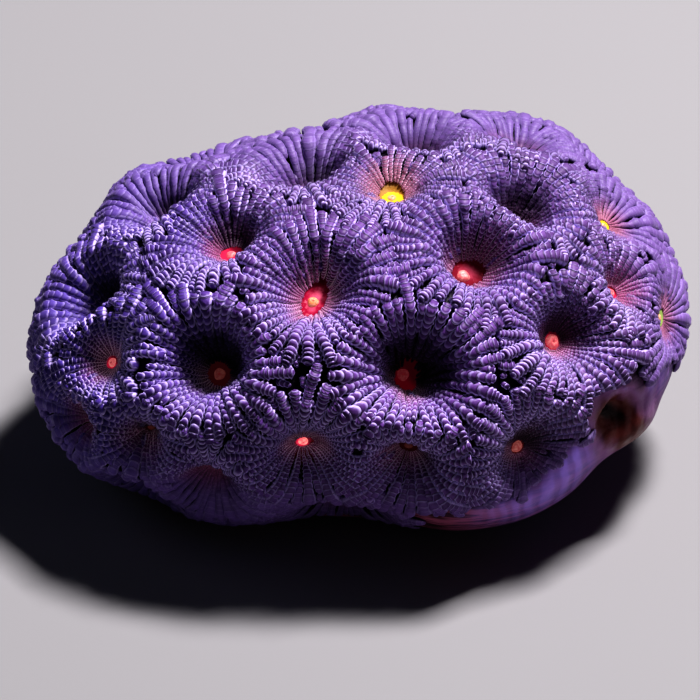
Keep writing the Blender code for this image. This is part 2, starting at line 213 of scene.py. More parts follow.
@dataclass
class Boulder:
    """The colony's smooth outer form: an ellipsoid stretched to the photograph's outline."""

    photo: Photo = field(default_factory=Photo)
    half_size: Array = field(default_factory=lambda: np.array([33.0, 26.0, 18.5]) * MM)
    cut_drop: float = 15.5 * MM
    softening: float = 3.0
    sight: Pair = (40 * MM, -30 * MM)
    normal_step: float = 2e-3
    angles: Array = field(init=False)
    stretches: Array = field(init=False)
    middle: Array = field(init=False)

    def __post_init__(self) -> None:
        """Works out the outline's stretch for each degree, and the middle of the form's box."""
        across, up = self.photo.offsets(np.array(OUTLINE, float))
        angle = np.arctan2(up, across)
        stretch = np.hypot(across, up) / self.plain_outline(angle)
        self.angles = np.radians(np.arange(360))
        rough = np.interp(self.angles, angle, stretch, period=2 * math.pi)
        window = np.exp(-0.5 * (np.arange(-12, 13) / self.softening) ** 2)
        wrapped = np.concatenate([rough[-12:], rough, rough[:12]])
        self.stretches = np.convolve(wrapped, window / window.sum(), "valid")
        places = self.spiral(20000)
        places = places[places[:, 2] > -self.cut_drop]
        self.middle = (places.min(axis=0) + places.max(axis=0)) / 2

    def plain_outline(self, angle: Array) -> Array:
        """The unstretched ellipsoid's distance from the middle in the photograph.

        Args:
            angle: angles round the middle.

        Returns:
            One distance for each angle.
        """
        tilt = self.photo.looks_down
        tall = math.hypot(self.half_size[1] * math.sin(tilt), self.half_size[2] * math.cos(tilt))
        return 1 / np.hypot(np.cos(angle) / self.half_size[0], np.sin(angle) / tall)

    def points(self, directions: Array) -> Array:
        """Points of the form: the ellipsoid's, moved out by the stretch times the edge share squared.

        Args:
            directions: vectors from the middle, in the unit sphere's space.

        Returns:
            The form's points, measured from the boulder's middle.
        """
        points = unit(directions) * self.half_size
        across, up = points @ self.photo.right, points @ self.photo.up
        angle = np.arctan2(up, across)
        edge_share = np.hypot(across, up) / self.plain_outline(angle)
        stretch = np.interp(angle, self.angles, self.stretches, period=2 * math.pi)
        return points * (1 + (stretch - 1) * edge_share**2)[..., None]

    def onto(self, places: Array) -> Array:
        """The point of the form on the line from the middle through each place."""
        return self.points(places / self.half_size)

    def normals(self, places: Array) -> Array:
        """Outward normals, as the product of two short steps along the form.

        Args:
            places: points of the form.

        Returns:
            One unit normal for each place.
        """
        ways = unit(places / self.half_size)
        first, second = side_axes(ways)
        first, second = self.normal_step * first, self.normal_step * second
        along = self.points(ways + first) - self.points(ways - first)
        over = self.points(ways + second) - self.points(ways - second)
        return unit(np.cross(along, over))

    def edge_shares(self, places: Array) -> tuple[Array, Array]:
        """Where each point is in the photograph, from its middle at 0 to its outline at 1.

        Past the outline, on the side that the photograph hides, the share goes on from 1 to 2.

        Args:
            places: points of the form.

        Returns:
            The shares and the angles round the photograph's middle.
        """
        across, up = places @ self.photo.right, places @ self.photo.up
        angle = np.arctan2(up, across)
        stretch = np.interp(angle, self.angles, self.stretches, period=2 * math.pi)
        outline = self.plain_outline(angle) * stretch
        share = np.hypot(across, up) / outline
        hidden = self.normals(places) @ self.photo.towards < 0
        return np.where(hidden, 2 - share, share), angle

    def facing(self, across: Array, up: Array) -> Array:
        """The point of the form that shows at each place of the photograph.

        Args:
            across: distances to the right of the middle.
            up: distances above the middle.

        Returns:
            The nearest point of the form on each line of sight.
        """
        photo = self.photo
        reach = np.linspace(*self.sight, 700)
        line = across[:, None, None] * photo.right + up[:, None, None] * photo.up
        line = line + reach[:, None] * photo.towards
        outside = np.linalg.norm(line, axis=2) - np.linalg.norm(self.onto(line), axis=2)
        inside = outside < 0
        hit = np.where(inside.any(axis=1), inside.argmax(axis=1), outside.argmin(axis=1))
        return self.onto(line[np.arange(len(line)), hit])

    def spiral(self, count: int) -> Array:
        """Evenly spread places on the form: one golden turn and one step down after another.

        Args:
            count: how many places.

        Returns:
            The places.
        """
        number = np.arange(count)
        height = 1 - 2 * (number + 0.5) / count
        flat = np.sqrt(1 - height**2)
        turn = math.pi * (3 - math.sqrt(5)) * number
        return self.points(np.stack([flat * np.cos(turn), flat * np.sin(turn), height], 1))

    def tilt_of_cut(self, turns: Array) -> Array:
        """How far down from the top, as an angle, the cut's rim is, found by halving.

        Args:
            turns: directions round the form.

        Returns:
            One angle for each direction.
        """
        low, high = np.full(len(turns), math.pi / 2), np.full(len(turns), math.pi * 0.98)
        for _ in range(40):
            middle = (low + high) / 2
            flat = np.sin(middle)
            ways = np.stack([flat * np.cos(turns), flat * np.sin(turns), np.cos(middle)], 1)
            above = self.points(ways)[:, 2] > -self.cut_drop
            low, high = np.where(above, middle, low), np.where(above, high, middle)
        return low

    def placed(self, points: Array) -> Array:
        """Points moved from the boulder's middle to the part's own origin, on the flat cut."""
        return points + np.array([-self.middle[0], -self.middle[1], self.cut_drop])


def side_axes(normals: Array) -> tuple[Array, Array]:
    """Two directions along the surface for each normal, about the photograph's right and up."""
    first = unit(np.cross(np.array([0.0, 1.0, 0.0]), normals) + np.array([1e-9, 0.0, 0.0]))
    return first, np.cross(normals, first)


def ways_round(normal: Array, angles: Array) -> Array:
    """The directions along the surface at some angles round one normal."""
    first, second = side_axes(normal)
    return np.cos(angles)[:, None] * first + np.sin(angles)[:, None] * second


@dataclass
class PitField:
    """All the pits: those of the photograph, and more of them over the sides that it hides.

    A pair is where an S-curve starts and how far it goes on. Those that end in _share are shares
    of the photograph's outline, and those that end in _turn are degrees round it.
    """

    boulder: Boulder
    ridge_height: float = 0.8 * MM
    longest_reach: float = 9.5 * MM
    opening: float = 6.2 * MM
    hidden_spacing: float = 9.2 * MM
    hidden_facing: float = 0.12
    smooth_band: Pair = (-60.0, -8.0)
    smooth_facing: float = -0.5
    lowest: float = 4.5 * MM
    margin_band: float = 5.0 * MM
    roundness: float = 1.75
    foot: Pair = (1.2 * MM, 1.2 * MM)
    pocket_edge: Pair = (2.8 * MM, 1.4 * MM)
    behind_pocket: float = 50 * MM
    strip_share: Pair = (0.925, 0.04)
    strip_from_turn: Pair = (-34.0, 8.0)
    strip_to_turn: Pair = (-12.0, 6.0)
    band_start: float = 0.905
    band_from_turn: Pair = (-80.0, 12.0)
    band_to_turn: Pair = (-18.0, 12.0)
    waver: float = 0.012
    widening: float = 0.035
    narrowing: float = 0.07
    wide_turn: Pair = (-52.0, 12.0)
    narrowing_turn: Pair = (-24.0, 10.0)
    behind_share: Pair = (1.10, 0.08)
    soft_start: float = 0.83
    soft_end_share: Pair = (1.06, 0.25)
    left_turn: Pair = (135.0, 30.0)
    hidden_depth: float = 4.2
    hidden_floor: float = 0.24
    hidden_glows: tuple[Glow, ...] = (Glow.RED, Glow.PINK, Glow.RED, Glow.ORANGE, Glow.YELLOW)
    centres: Array = field(init=False)
    pits: tuple[Pit, ...] = field(init=False)
    normals: Array = field(init=False)
    spreads: Array = field(init=False)
    depths: Array = field(init=False)
    floors: Array = field(init=False)

    def __post_init__(self) -> None:
        """Places the seen pits, then fills the rest of the colony."""
        self.centres = self.fill(self.seen_centres())
        draw = np.random.default_rng(11)
        hidden = []
        for _ in range(len(self.centres) - len(SEEN_PITS)):
            glow = self.hidden_glows[draw.integers(len(self.hidden_glows))]
            turn = draw.uniform(0, 180)
            hidden.append(Pit(0, 0, 0, self.hidden_depth, self.hidden_floor, glow, turn=turn))
        self.pits = SEEN_PITS + tuple(hidden)
        self.normals = self.boulder.normals(self.centres)
        self.spreads = np.array([pit.spread for pit in self.pits]) * MM
        self.depths = np.array([pit.depth for pit in self.pits]) * MM
        self.floors = np.array([pit.floor for pit in self.pits])

    def ridged(self) -> list[tuple[int, Pit]]:
        """The pits that have ridges and a mouth, with their numbers."""
        return [(number, pit) for number, pit in enumerate(self.pits) if pit.ridged]

    def seen_centres(self) -> Array:
        """Where each seen pit is centred, found by steps, so that its mouth shows at its pixel."""
        photo, boulder = self.boulder.photo, self.boulder
        across, up = photo.offsets(np.array([(pit.across, pit.down) for pit in SEEN_PITS], float))
        sinks = np.array([(pit.depth * MM + self.ridge_height) * pit.by_mouth for pit in SEEN_PITS])
        shift_across, shift_up = np.zeros_like(across), np.zeros_like(up)
        for _ in range(6):
            centres = boulder.facing(across + shift_across, up + shift_up)
            sunk = sinks[:, None] * boulder.normals(centres)
            shift_across = (shift_across + sunk @ photo.right) / 2
            shift_up = (shift_up + sunk @ photo.up) / 2
        return centres

    def fill(self, centres: Array) -> Array:
        """Adds hidden pits one at a time, each where there is most room, until there is none.

        Args:
            centres: the centres of the seen pits.

        Returns:
            The centres of all pits.
        """
        places = self.boulder.spiral(3000)
        places = places[places[:, 2] > self.lowest - self.boulder.cut_drop]
        photo = self.boulder.photo
        facing = self.boulder.normals(places) @ photo.towards
        angle = np.degrees(np.arctan2(places @ photo.up, places @ photo.right))
        band = (angle > self.smooth_band[0]) & (angle < self.smooth_band[1])
        places = places[(facing < self.hidden_facing) & ~(band & (facing > self.smooth_facing))]
        room = np.linalg.norm(places[:, None] - centres[None], axis=2).min(axis=1)
        while room.max() >= self.hidden_spacing:
            best = places[room.argmax()]
            centres = np.vstack([centres, best])
            room = np.minimum(room, np.linalg.norm(places - best, axis=1))
        return centres

    def owners(self, points: Array) -> tuple[Whole, Whole, Array, Array]:
        """Which pit each point belongs to, by distance less the cell's spread.

        Args:
            points: points of the smooth form.

        Returns:
            The owner, the next pit, the distance from the owner's axis and that to the wall's top.
        """
        distance = np.linalg.norm(points[:, None] - self.centres[None], axis=2)
        ranked = np.argsort(distance - self.spreads, axis=1)[:, :2]
        rows = np.arange(len(points))
        mine, other = ranked[:, 0], ranked[:, 1]
        away = distance[rows, mine]
        gap = (distance[rows, other] - self.spreads[other] - away + self.spreads[mine]) / 2
        longest = self.longest_reach + self.spreads[mine] - away
        return mine, other, away, np.maximum(np.minimum(gap, longest), 0)

    def share(self, points: Array) -> tuple[Whole, Array]:
        """Which pit each point belongs to, and how far it is up that pit's slope.

        Args:
            points: points of the smooth form.

        Returns:
            The owner, and the share of the way from the mouth's axis to the end of the slope.
        """
        mine, _, away, to_wall = self.owners(points)
        slope_end = np.minimum(away + to_wall + 1e-9, self.opening + self.spreads[mine])
        return mine, np.clip(away / slope_end, 0, 1)

    def fade(self, points: Array) -> Array:
        """How much of the relief is left at each height over the cut, from 0 on it to 1."""
        return smooth((points[:, 2] + self.boulder.cut_drop) / self.margin_band)

    def skirt(self, points: Array) -> Array:
        """How far each point is onto the bare margin that runs round the foot of the colony.

        The margin is narrow, except at the front right, where it reaches up to the smooth band and
        to a strip along the outline. A smooth pocket and the flesh round it count as margin too.

        Args:
            points: points of the smooth form.

        Returns:
            Shares from 0, on ridged flesh, to 1.
        """
        foot = fall(points[:, 2] + self.boulder.cut_drop, *self.foot)
        pocket = fall(self.from_pocket(points), *self.pocket_edge)
        share, angle = self.boulder.edge_shares(points)
        angle = np.degrees(angle)
        strip = rise(share, *self.strip_share) * fall(share, *self.behind_share)
        strip = strip * rise(angle, *self.strip_from_turn) * fall(angle, *self.strip_to_turn)
        return np.maximum(np.maximum(self.band(points), foot), np.maximum(pocket, strip))

    def band(self, points: Array) -> Array:
        """How far each point is onto the smooth band inside the outline's lower right.

        The band starts at a share of the outline that wavers as a sine of the angle. It is wider
        towards the right, narrows again near its end, and ends a little past the outline there.

        Args:
            points: points of the smooth form.

        Returns:
            Shares from 0, off the band, to 1.
        """
        share, angle = self.boulder.edge_shares(points)
        angle = np.degrees(angle)
        window = rise(angle, *self.band_from_turn) * fall(angle, *self.band_to_turn)
        wide = rise(angle, *self.wide_turn)
        start = self.band_start - self.widening * wide
        start = start + self.narrowing * rise(angle, *self.narrowing_turn)
        band = rise(share, start + self.waver * np.sin(angle / 4), 0.04 + 0.06 * wide) * window
        return band * (1 - wide * rise(share, *self.behind_share))

    def softness(self, points: Array) -> Array:
        """How much the beads are smoothed away: fully at the photograph's outline, elsewhere not.

        Args:
            points: points of the smooth form.

        Returns:
            Shares from 0 to 1.
        """
        share, angle = self.boulder.edge_shares(points)
        start = self.soft_start + self.narrowing * rise(np.degrees(np.abs(angle)), *self.left_turn)
        return 0.85 * rise(share, start, 0.12) * fall(share, *self.soft_end_share)

    def from_pocket(self, points: Array) -> Array:
        """How far each point shows from the nearest smooth pocket in the photograph.

        Args:
            points: points of the smooth form.

        Returns:
            One distance for each point, and a long one behind the colony.
        """
        photo = self.boulder.photo
        pockets = np.array([(pit.across, pit.down) for pit in SEEN_PITS if not pit.ridged], float)
        across, up = photo.offsets(pockets)
        right, above = (points @ photo.right)[:, None], (points @ photo.up)[:, None]
        away = np.hypot(right - across, above - up).min(axis=1)
        return np.where(self.boulder.normals(points) @ photo.towards < -0.2, self.behind_pocket, away)

    def sunk(self, points: Array) -> Array:
        """How far the flesh lies under the smooth form.

        The depth falls from the pit's own at its floor to nothing at the wall, as one less the
        sine of the climb to the power of the roundness. The height of the ridges is added. All of
        it fades out over the margin above the cut, and all but the smooth pocket's on the band.

        Args:
            points: points of the smooth form.

        Returns:
            One depth for each point, in metres.
        """
        mine, share = self.share(points)
        climb = np.clip((share - self.floors[mine]) / (1 - self.floors[mine]), 0, 1)
        depth = self.depths[mine] * (1 - np.sin(math.pi / 2 * climb) ** self.roundness)
        left = 1 - self.band(points)
        smooth_pit = np.array([not pit.ridged for pit in self.pits])[mine]
        return (self.ridge_height * left + depth * np.where(smooth_pit, 1.0, left)) * self.fade(points)

    def flesh(self, points: Array) -> Array:
        """The flesh's point under each point of the smooth form."""
        return points - self.sunk(points)[:, None] * self.boulder.normals(points)


class Piece:
    """Helpers that turn arrays into mesh objects which ride on the part's only body."""

    @staticmethod
    def make(name: str, corners: Array, quads: Whole, triangles: Whole) -> bpy.types.Object:
        """Makes a smooth-shaded mesh object from arrays.

        Args:
            name: the piece's name.
            corners: one point a row.
            quads: four corner numbers a row.
            triangles: three corner numbers a row.

        Returns:
            The new object, linked to the scene.
        """
        mesh = bpy.data.meshes.new(name)
        mesh.vertices.add(len(corners))
        mesh.vertices.foreach_set("co", np.ascontiguousarray(corners, np.float32).ravel())
        loops = np.concatenate([quads.ravel(), triangles.ravel()]).astype(np.int32)
        mesh.loops.add(len(loops))
        mesh.loops.foreach_set("vertex_index", loops)
        starts = np.concatenate([np.arange(len(quads)) * 4, quads.size + np.arange(len(triangles)) * 3])
        mesh.polygons.add(len(starts))
        mesh.polygons.foreach_set("loop_start", starts.astype(np.int32))
        mesh.polygons.foreach_set("use_smooth", np.ones(len(starts), bool))
        mesh.update(calc_edges=True)
        piece = bpy.data.objects.new(name, mesh)
        bpy.context.scene.collection.objects.link(piece)
        return piece

    @staticmethod
    def note(piece: bpy.types.Object, name: str, values: Array) -> None:
        """Stores one number for each corner of a piece, for its material to read."""
        layer = piece.data.attributes.new(name, "FLOAT", "POINT")
        layer.data.foreach_set("value", np.ascontiguousarray(values, np.float32))

    @staticmethod
    def join(piece: bpy.types.Object, material: bpy.types.Material) -> bpy.types.Object:
        """Dresses a piece, fixes it to the body and reports it.

        Args:
            piece: the piece.
            material: what it is dressed in.

        Returns:
            The same piece.
        """
        piece.data.materials.append(material)
        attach(piece, "root")
        logger.info("%s: %d faces", piece.name, len(piece.data.polygons))
        return piece


@dataclass(frozen=True)
class Number:
    """A socket that gives a number. The usual signs add the nodes for sums on it."""

    graph: "Graph"
    socket: bpy.types.NodeSocket

    def __add__(self, other: object) -> "Number":
        """The sum of this and another number."""
        return self.graph.maths("ADD", self, other)

    def __sub__(self, other: object) -> "Number":
        """This number less another one."""
        return self.graph.maths("SUBTRACT", self, other)

    def __rsub__(self, other: float) -> "Number":
        """A plain number less this one."""
        return self.graph.maths("SUBTRACT", other, self)

    def __mul__(self, other: object) -> "Number":
        """The product of this and another number."""
        return self.graph.maths("MULTIPLY", self, other)

    def __abs__(self) -> "Number":
        """This number without its sign."""
        return self.graph.maths("ABSOLUTE", self)

    def span(self, low: float, high: float, to_low: float = 0.0, to_high: float = 1.0) -> "Number":
        """This number carried smoothly from one range to another, clamped to its ends.

        Args:
            low, high: the range that it comes from.
            to_low, to_high: what it is at the ends of that range.

        Returns:
            The number in its new range.
        """
        sockets = {"Value": self, 1: low, 2: high, 3: to_low, 4: to_high}
        node = self.graph.add("ShaderNodeMapRange", sockets, interpolation_type="SMOOTHSTEP", clamp=True)
        return Number(self.graph, node.outputs["Result"])


@dataclass
class Graph:
    """A node tree with short ways to add and join its nodes."""

    tree: bpy.types.NodeTree

    def feed(self, socket: bpy.types.NodeSocket, value: object) -> None:
        """Links a socket to a number or another socket, or sets it to a plain value.

        Args:
            socket: the input.
            value: what it takes. A plain colour gets its alpha here.
        """
        if isinstance(value, Number):
            value = value.socket
        if isinstance(value, bpy.types.NodeSocket):
            self.tree.links.new(value, socket)
        elif socket.type == "RGBA":
            socket.default_value = (*value, 1.0)
        else:
            socket.default_value = value

    def add(self, kind: str, sockets: dict, **settings: object) -> bpy.types.Node:
        """Adds a node.

        Args:
            kind: the node's type.
            sockets: a value or another socket for some of its inputs, by name or number.
            settings: the node's own properties.

        Returns:
            The new node.
        """
        node = self.tree.nodes.new(kind)
        for name, value in settings.items():
            setattr(node, name, value)
        for name, value in sockets.items():
            self.feed(node.inputs[name], value)
        return node

    def maths(self, operation: str, *values: object) -> Number:
        """One sum on numbers, by the name that Blender gives it."""
        node = self.add("ShaderNodeMath", dict(enumerate(values)), operation=operation)
        return Number(self, node.outputs[0])

    def blend(self, share: object, first: object, second: object, way: str = "MIX") -> bpy.types.NodeSocket:
        """A mix of two colours.

        Args:
            share: how much of the second colour there is.
            first: a colour or a socket that gives one.
            second: another.
            way: how they mix, by the name that Blender gives it.

        Returns:
            The socket that gives the mix.
        """
        sockets = {0: share, 6: first, 7: second}
        settings = {"data_type": "RGBA", "blend_type": way, "clamp_factor": True}
        return self.add("ShaderNodeMix", sockets, **settings).outputs[2]

    def ramp(self, value: Number, stops: dict[Glow, Colour]) -> bpy.types.NodeSocket:
        """A colour looked up on a ramp.

        Args:
            value: the place on the ramp.
            stops: the colour at each glow's place.

        Returns:
            The socket that gives the colour.
        """
        node = self.add("ShaderNodeValToRGB", {"Fac": value})
        line = node.color_ramp.elements
        while len(line) < len(stops):
            line.new(1.0)
        for element, (glow, colour) in zip(line, stops.items()):
            element.position = glow.value
            element.color = (*colour, 1.0)
        return node.outputs["Color"]

    def note(self, name: str) -> Number:
        """A number stored on the piece's corners."""
        return Number(self, self.add("ShaderNodeAttribute", {}, attribute_name=name).outputs["Fac"])

    def place(self) -> bpy.types.NodeSocket:
        """The point's place on the colony, in metres."""
        return self.add("ShaderNodeTexCoord", {}).outputs["Object"]

    def axes(self) -> list[Number]:
        """The three parts of the point's place, in metres."""
        node = self.add("ShaderNodeSeparateXYZ", {0: self.place()})
        return [Number(self, part) for part in node.outputs]

    def cloud(self, scale: object, detail: float = 3.0, rough: float = 0.5) -> Number:
        """Soft noise over the colony, about 0.5 on average."""
        sockets = {"Vector": self.place(), "Scale": scale, "Detail": detail, "Roughness": rough}
        return Number(self, self.add("ShaderNodeTexNoise", sockets).outputs["Fac"])

    def use(self, group: bpy.types.NodeTree, **numbers: float) -> bpy.types.bpy_prop_collection:
        """Places a node group with some of its numbers set, and gives its outputs."""
        return self.add("ShaderNodeGroup", numbers, node_tree=group).outputs


@dataclass
class Finish:
    """A material in the making: its graph and its shader."""

    name: str
    material: bpy.types.Material = field(init=False)
    graph: Graph = field(init=False)
    shader: bpy.types.Node = field(init=False)

    def __post_init__(self) -> None:
        """Makes the material with its shader."""
        self.material = bpy.data.materials.new(self.name)
        self.material.use_nodes = True
        self.graph = Graph(self.material.node_tree)
        self.shader = self.material.node_tree.nodes["Principled BSDF"]

    def feed(self, **inputs: object) -> None:
        """Feeds inputs of the shader, each named as in Blender with _ for a space."""
        for name, value in inputs.items():
            self.graph.feed(self.shader.inputs[name.replace("_", " ")], value)

    def emit(self, share: object, colour: object, strength: float) -> None:
        """Lets a share of a colour glow, up to a strength."""
        glow = self.graph.blend(share, (0.0, 0.0, 0.0), colour)
        self.feed(Emission_Color=glow, Emission_Strength=strength)

    def bump(self, height: object, strength: float, depth: float) -> None:
        """Raises the surface by a height map."""
        sockets = {"Strength": strength, "Distance": depth, "Height": height}
        self.feed(Normal=self.graph.add("ShaderNodeBump", sockets).outputs["Normal"])


def new_group(name: str, inputs: dict[str, float], outputs: dict[str, str]) -> tuple[Graph, dict, dict]:
    """A shader node group with named sockets.

    Args:
        name: the group's name.
        inputs: the default of each number that it takes.
        outputs: the socket type of each thing that it gives.

    Returns:
        The group's graph, its inputs by name and the sockets of its output node by name.
    """
    tree = bpy.data.node_groups.new(name, "ShaderNodeTree")
    for label, value in inputs.items():
        socket = tree.interface.new_socket(label, in_out="INPUT", socket_type="NodeSocketFloat")
        socket.default_value = value
    for label, kind in outputs.items():
        tree.interface.new_socket(label, in_out="OUTPUT", socket_type=kind)
    graph = Graph(tree)
    taken = graph.add("NodeGroupInput", {}).outputs
    given = graph.add("NodeGroupOutput", {}).inputs
    numbers = {label: Number(graph, taken[label]) for label in inputs}
    return graph, numbers, {label: given[label] for label in outputs}


@dataclass(frozen=True)
class TissueTint:
    """The violet of the living tissue: bluer at the front left, duller at the right, top and rear.
    The shift by place is partly painted light, standing in for how the light fell on those
    sides, and partly the tissue's own tone.
    """

    blue: Colour = (0.090, 0.050, 0.310)
    violet: Colour = (0.148, 0.060, 0.262)
    lavender: Colour = (0.132, 0.074, 0.205)
    plum: Colour = (0.160, 0.078, 0.245)
    left_from: Pair = (-0.004, -0.028)
    right_from: Pair = (0.006, 0.026)
    back_from: Pair = (0.016, 0.046)

    def build(self) -> bpy.types.NodeTree:
        """The group: gives Violet, the tissue's colour at each place of the colony."""
        graph, _, given = new_group("tissue_tint", {}, {"Violet": "NodeSocketColor"})
        across, deep, high = graph.axes()
        wander = graph.cloud(70.0) * 0.024 - 0.012
        across = across + wander
        right = graph.blend(across.span(*self.right_from), self.violet, self.plum)
        front = graph.blend(across.span(*self.left_from), right, self.blue)
        back = (deep * 0.6 + high + wander).span(*self.back_from)
        graph.feed(given["Violet"], graph.blend(back, front, self.lavender))
        return graph.tree


@dataclass(frozen=True)
class TissueGrain:
    """The fine grain of wet tissue, which every living surface of the colony shares."""

    fine: float = 4200.0
    broad: float = 420.0

    def build(self) -> bpy.types.NodeTree:
        """The group: takes Scale and gives Tone, about 1, and Height for a bump."""
        outputs = {"Tone": "NodeSocketFloat", "Height": "NodeSocketFloat"}
        graph, taken, given = new_group("tissue_grain", {"Scale": 1.0}, outputs)
        fine = graph.cloud(taken["Scale"] * self.fine, 4.0, 0.6)
        graph.feed(given["Tone"], fine * 0.35 + 0.55 + graph.cloud(self.broad) * 0.55)
        graph.feed(given["Height"], fine)
        return graph.tree


@dataclass(frozen=True)
class MouthGlow:
    """The colours of the mouths, looked up by the number that each pit carries."""

    stops: dict[Glow, Colour] = field(default_factory=lambda: {
        Glow.RED: (0.140, 0.002, 0.014),
        Glow.CRIMSON: (0.270, 0.004, 0.034),
        Glow.PINK: (0.420, 0.018, 0.058),
        Glow.ORANGE: (0.500, 0.060, 0.050),
        Glow.YELLOW: (0.440, 0.350, 0.020),
        Glow.GREEN: (0.230, 0.310, 0.090),
        Glow.BROWN: (0.110, 0.022, 0.018),
    })

    def build(self) -> bpy.types.NodeTree:
        """The group: gives Glow, the colour of the pit's mouth."""
        graph, _, given = new_group("mouth_glow", {}, {"Glow": "NodeSocketColor"})
        graph.feed(given["Glow"], graph.ramp(graph.note("glow"), self.stops))
        return graph.tree


@dataclass(frozen=True)
class Groups:
    """The node groups that the finishes share."""

    tint: bpy.types.NodeTree = field(default_factory=TissueTint().build)
    grain: bpy.types.NodeTree = field(default_factory=TissueGrain().build)
    glow: bpy.types.NodeTree = field(default_factory=MouthGlow().build)


@dataclass(frozen=True)
class RidgeFinish:
    """Violet beads with pale lines between them, pinker and paler close to the mouth.
    The pale lines at the beads' ends and along their flanks are painted highlights that stand
    in for rim light, and they glow faintly. Painted shade darkens the creases between beads, the
    ridges' undersides and the deep upper walls of pits.

    Each field of four numbers is a range that a note comes from, and what it becomes there.
    """

    groups: Groups
    # line and flank are painted highlights: pale rim light on the beads' mouth-side ends and along their
    # flanks.
    line: Colour = (0.590, 0.470, 0.880)
    painted_flank_highlight: Colour = (0.620, 0.500, 0.900)
    # root is the colour of painted shade on the ridges: in the creases between beads, under the ridges and
    # on the pits' deep upper walls.
    root: Colour = (0.008, 0.003, 0.014)
    near_body: Colour = (0.300, 0.060, 0.180)
    near_line: Colour = (0.980, 0.640, 0.800)
    veil: Colour = (0.240, 0.160, 0.430)
    sheen_tint: Colour = (0.72, 0.58, 1.0)
    bow: float = 0.45
    edge_at: float = 0.82
    near_mouth: Span = (0.3, 3.0, 0.90, 0.0)
    edge: Span = (0.03, 0.17, 0.85, 0.0)
    patches: Span = (0.35, 0.65, 0.45, 0.90)
    painted_bead_highlight: Span = (0.06, 0.40, 1.0, 0.0)
    painted_crease_shade: Span = (0.76, 0.97, 0.0, 0.65)
    painted_underside_shade: Span = (-0.35, 0.25, 1.0, 0.0)
    paleness: Span = (0.3, 0.8, 0.22, 1.0)
    glow_strength: float = 0.10

    def build(self) -> bpy.types.Material:
        """Makes the ridges' material, with its lines bowed round each bead by the side squared."""
        finish = Finish("beaded_ridge")
        graph = finish.graph
        side, reach, soft, painted_shade = [graph.note(name) for name in ("side", "reach", "soft", "painted_shade")]
        violet = graph.use(self.groups.tint)["Violet"]
        mouth = graph.use(self.groups.glow)["Glow"]
        grain = graph.use(self.groups.grain)
        bead = graph.note("bead") + (side * side * -self.bow + self.bow)
        phase = graph.maths("FRACT", bead)
        seed = graph.maths("MULTIPLY_ADD", graph.note("tone"), 91.0, graph.maths("FLOOR", bead))
        chance = graph.add("ShaderNodeTexWhiteNoise", {"W": seed}, noise_dimensions="1D").outputs["Value"]
        tone = (Number(graph, chance) * 0.45 + 0.62) * grain["Tone"]
        grey = graph.add("ShaderNodeCombineColor", {0: tone, 1: tone, 2: tone}).outputs[0]
        near = reach.span(*self.near_mouth)
        near_line = graph.blend(0.12, self.near_line, mouth)
        crisp = 1.0 - soft
        # Painted highlights: a pale line along each flank and a crescent at each bead's mouth-side end.
        edge = abs(abs(side) - self.edge_at).span(*self.edge) * crisp
        line = phase.span(*self.painted_bead_highlight) * (graph.cloud(260.0).span(*self.patches) * crisp)
        # The ridges' undersides, which are darkened below as painted shade.
        low = graph.note("lift").span(*self.painted_underside_shade)
        line_colour = graph.blend(near, self.line, near_line)
        body = graph.blend(1.0, violet, grey, "MULTIPLY")
        body = graph.blend(soft * 0.45, body, self.veil)
        body = graph.blend(near, body, graph.blend(0.15, self.near_body, mouth))
        body = graph.blend(edge, body, graph.blend(near, self.painted_flank_highlight, near_line))
        body = graph.blend(line, body, line_colour)
        # Painted shade in the creases between beads and under the ridges.
        body = graph.blend(phase.span(*self.painted_crease_shade) * crisp, body, self.root)
        body = graph.blend(low, body, self.root)
        # Painted shade: the deep upper and right walls of pits darken as if shadowed.
        body = graph.blend(painted_shade * 0.85, body, self.root)
        # A faint painted glow on the pale lines, stronger near pale mouths and none where there is painted
        # shade or underside.
        bright = near * graph.note("pale").span(*self.paleness)
        painted_lace_glow = graph.maths("MAXIMUM", edge, line) * (1.0 - low) * (bright * 1.2 + 0.30) * (1.0 - painted_shade)
        finish.emit(painted_lace_glow, line_colour, self.glow_strength)
        finish.feed(Base_Color=body, Roughness=graph.cloud(900.0) * 0.25 + 0.375)
        finish.feed(Specular_IOR_Level=0.25, Sheen_Weight=0.15, Sheen_Roughness=0.35)
        finish.feed(Sheen_Tint=self.sheen_tint)
        round_up = phase.span(0.0, 0.16) * phase.span(0.40, 1.0, 1.0, 0.2)
        round_up = round_up * reach.span(0.0, 5.0, 0.45, 1.0) * crisp
        finish.bump(round_up + Number(graph, grain["Height"]) * 0.22, 0.8, 0.16 * MM)
        return finish.material


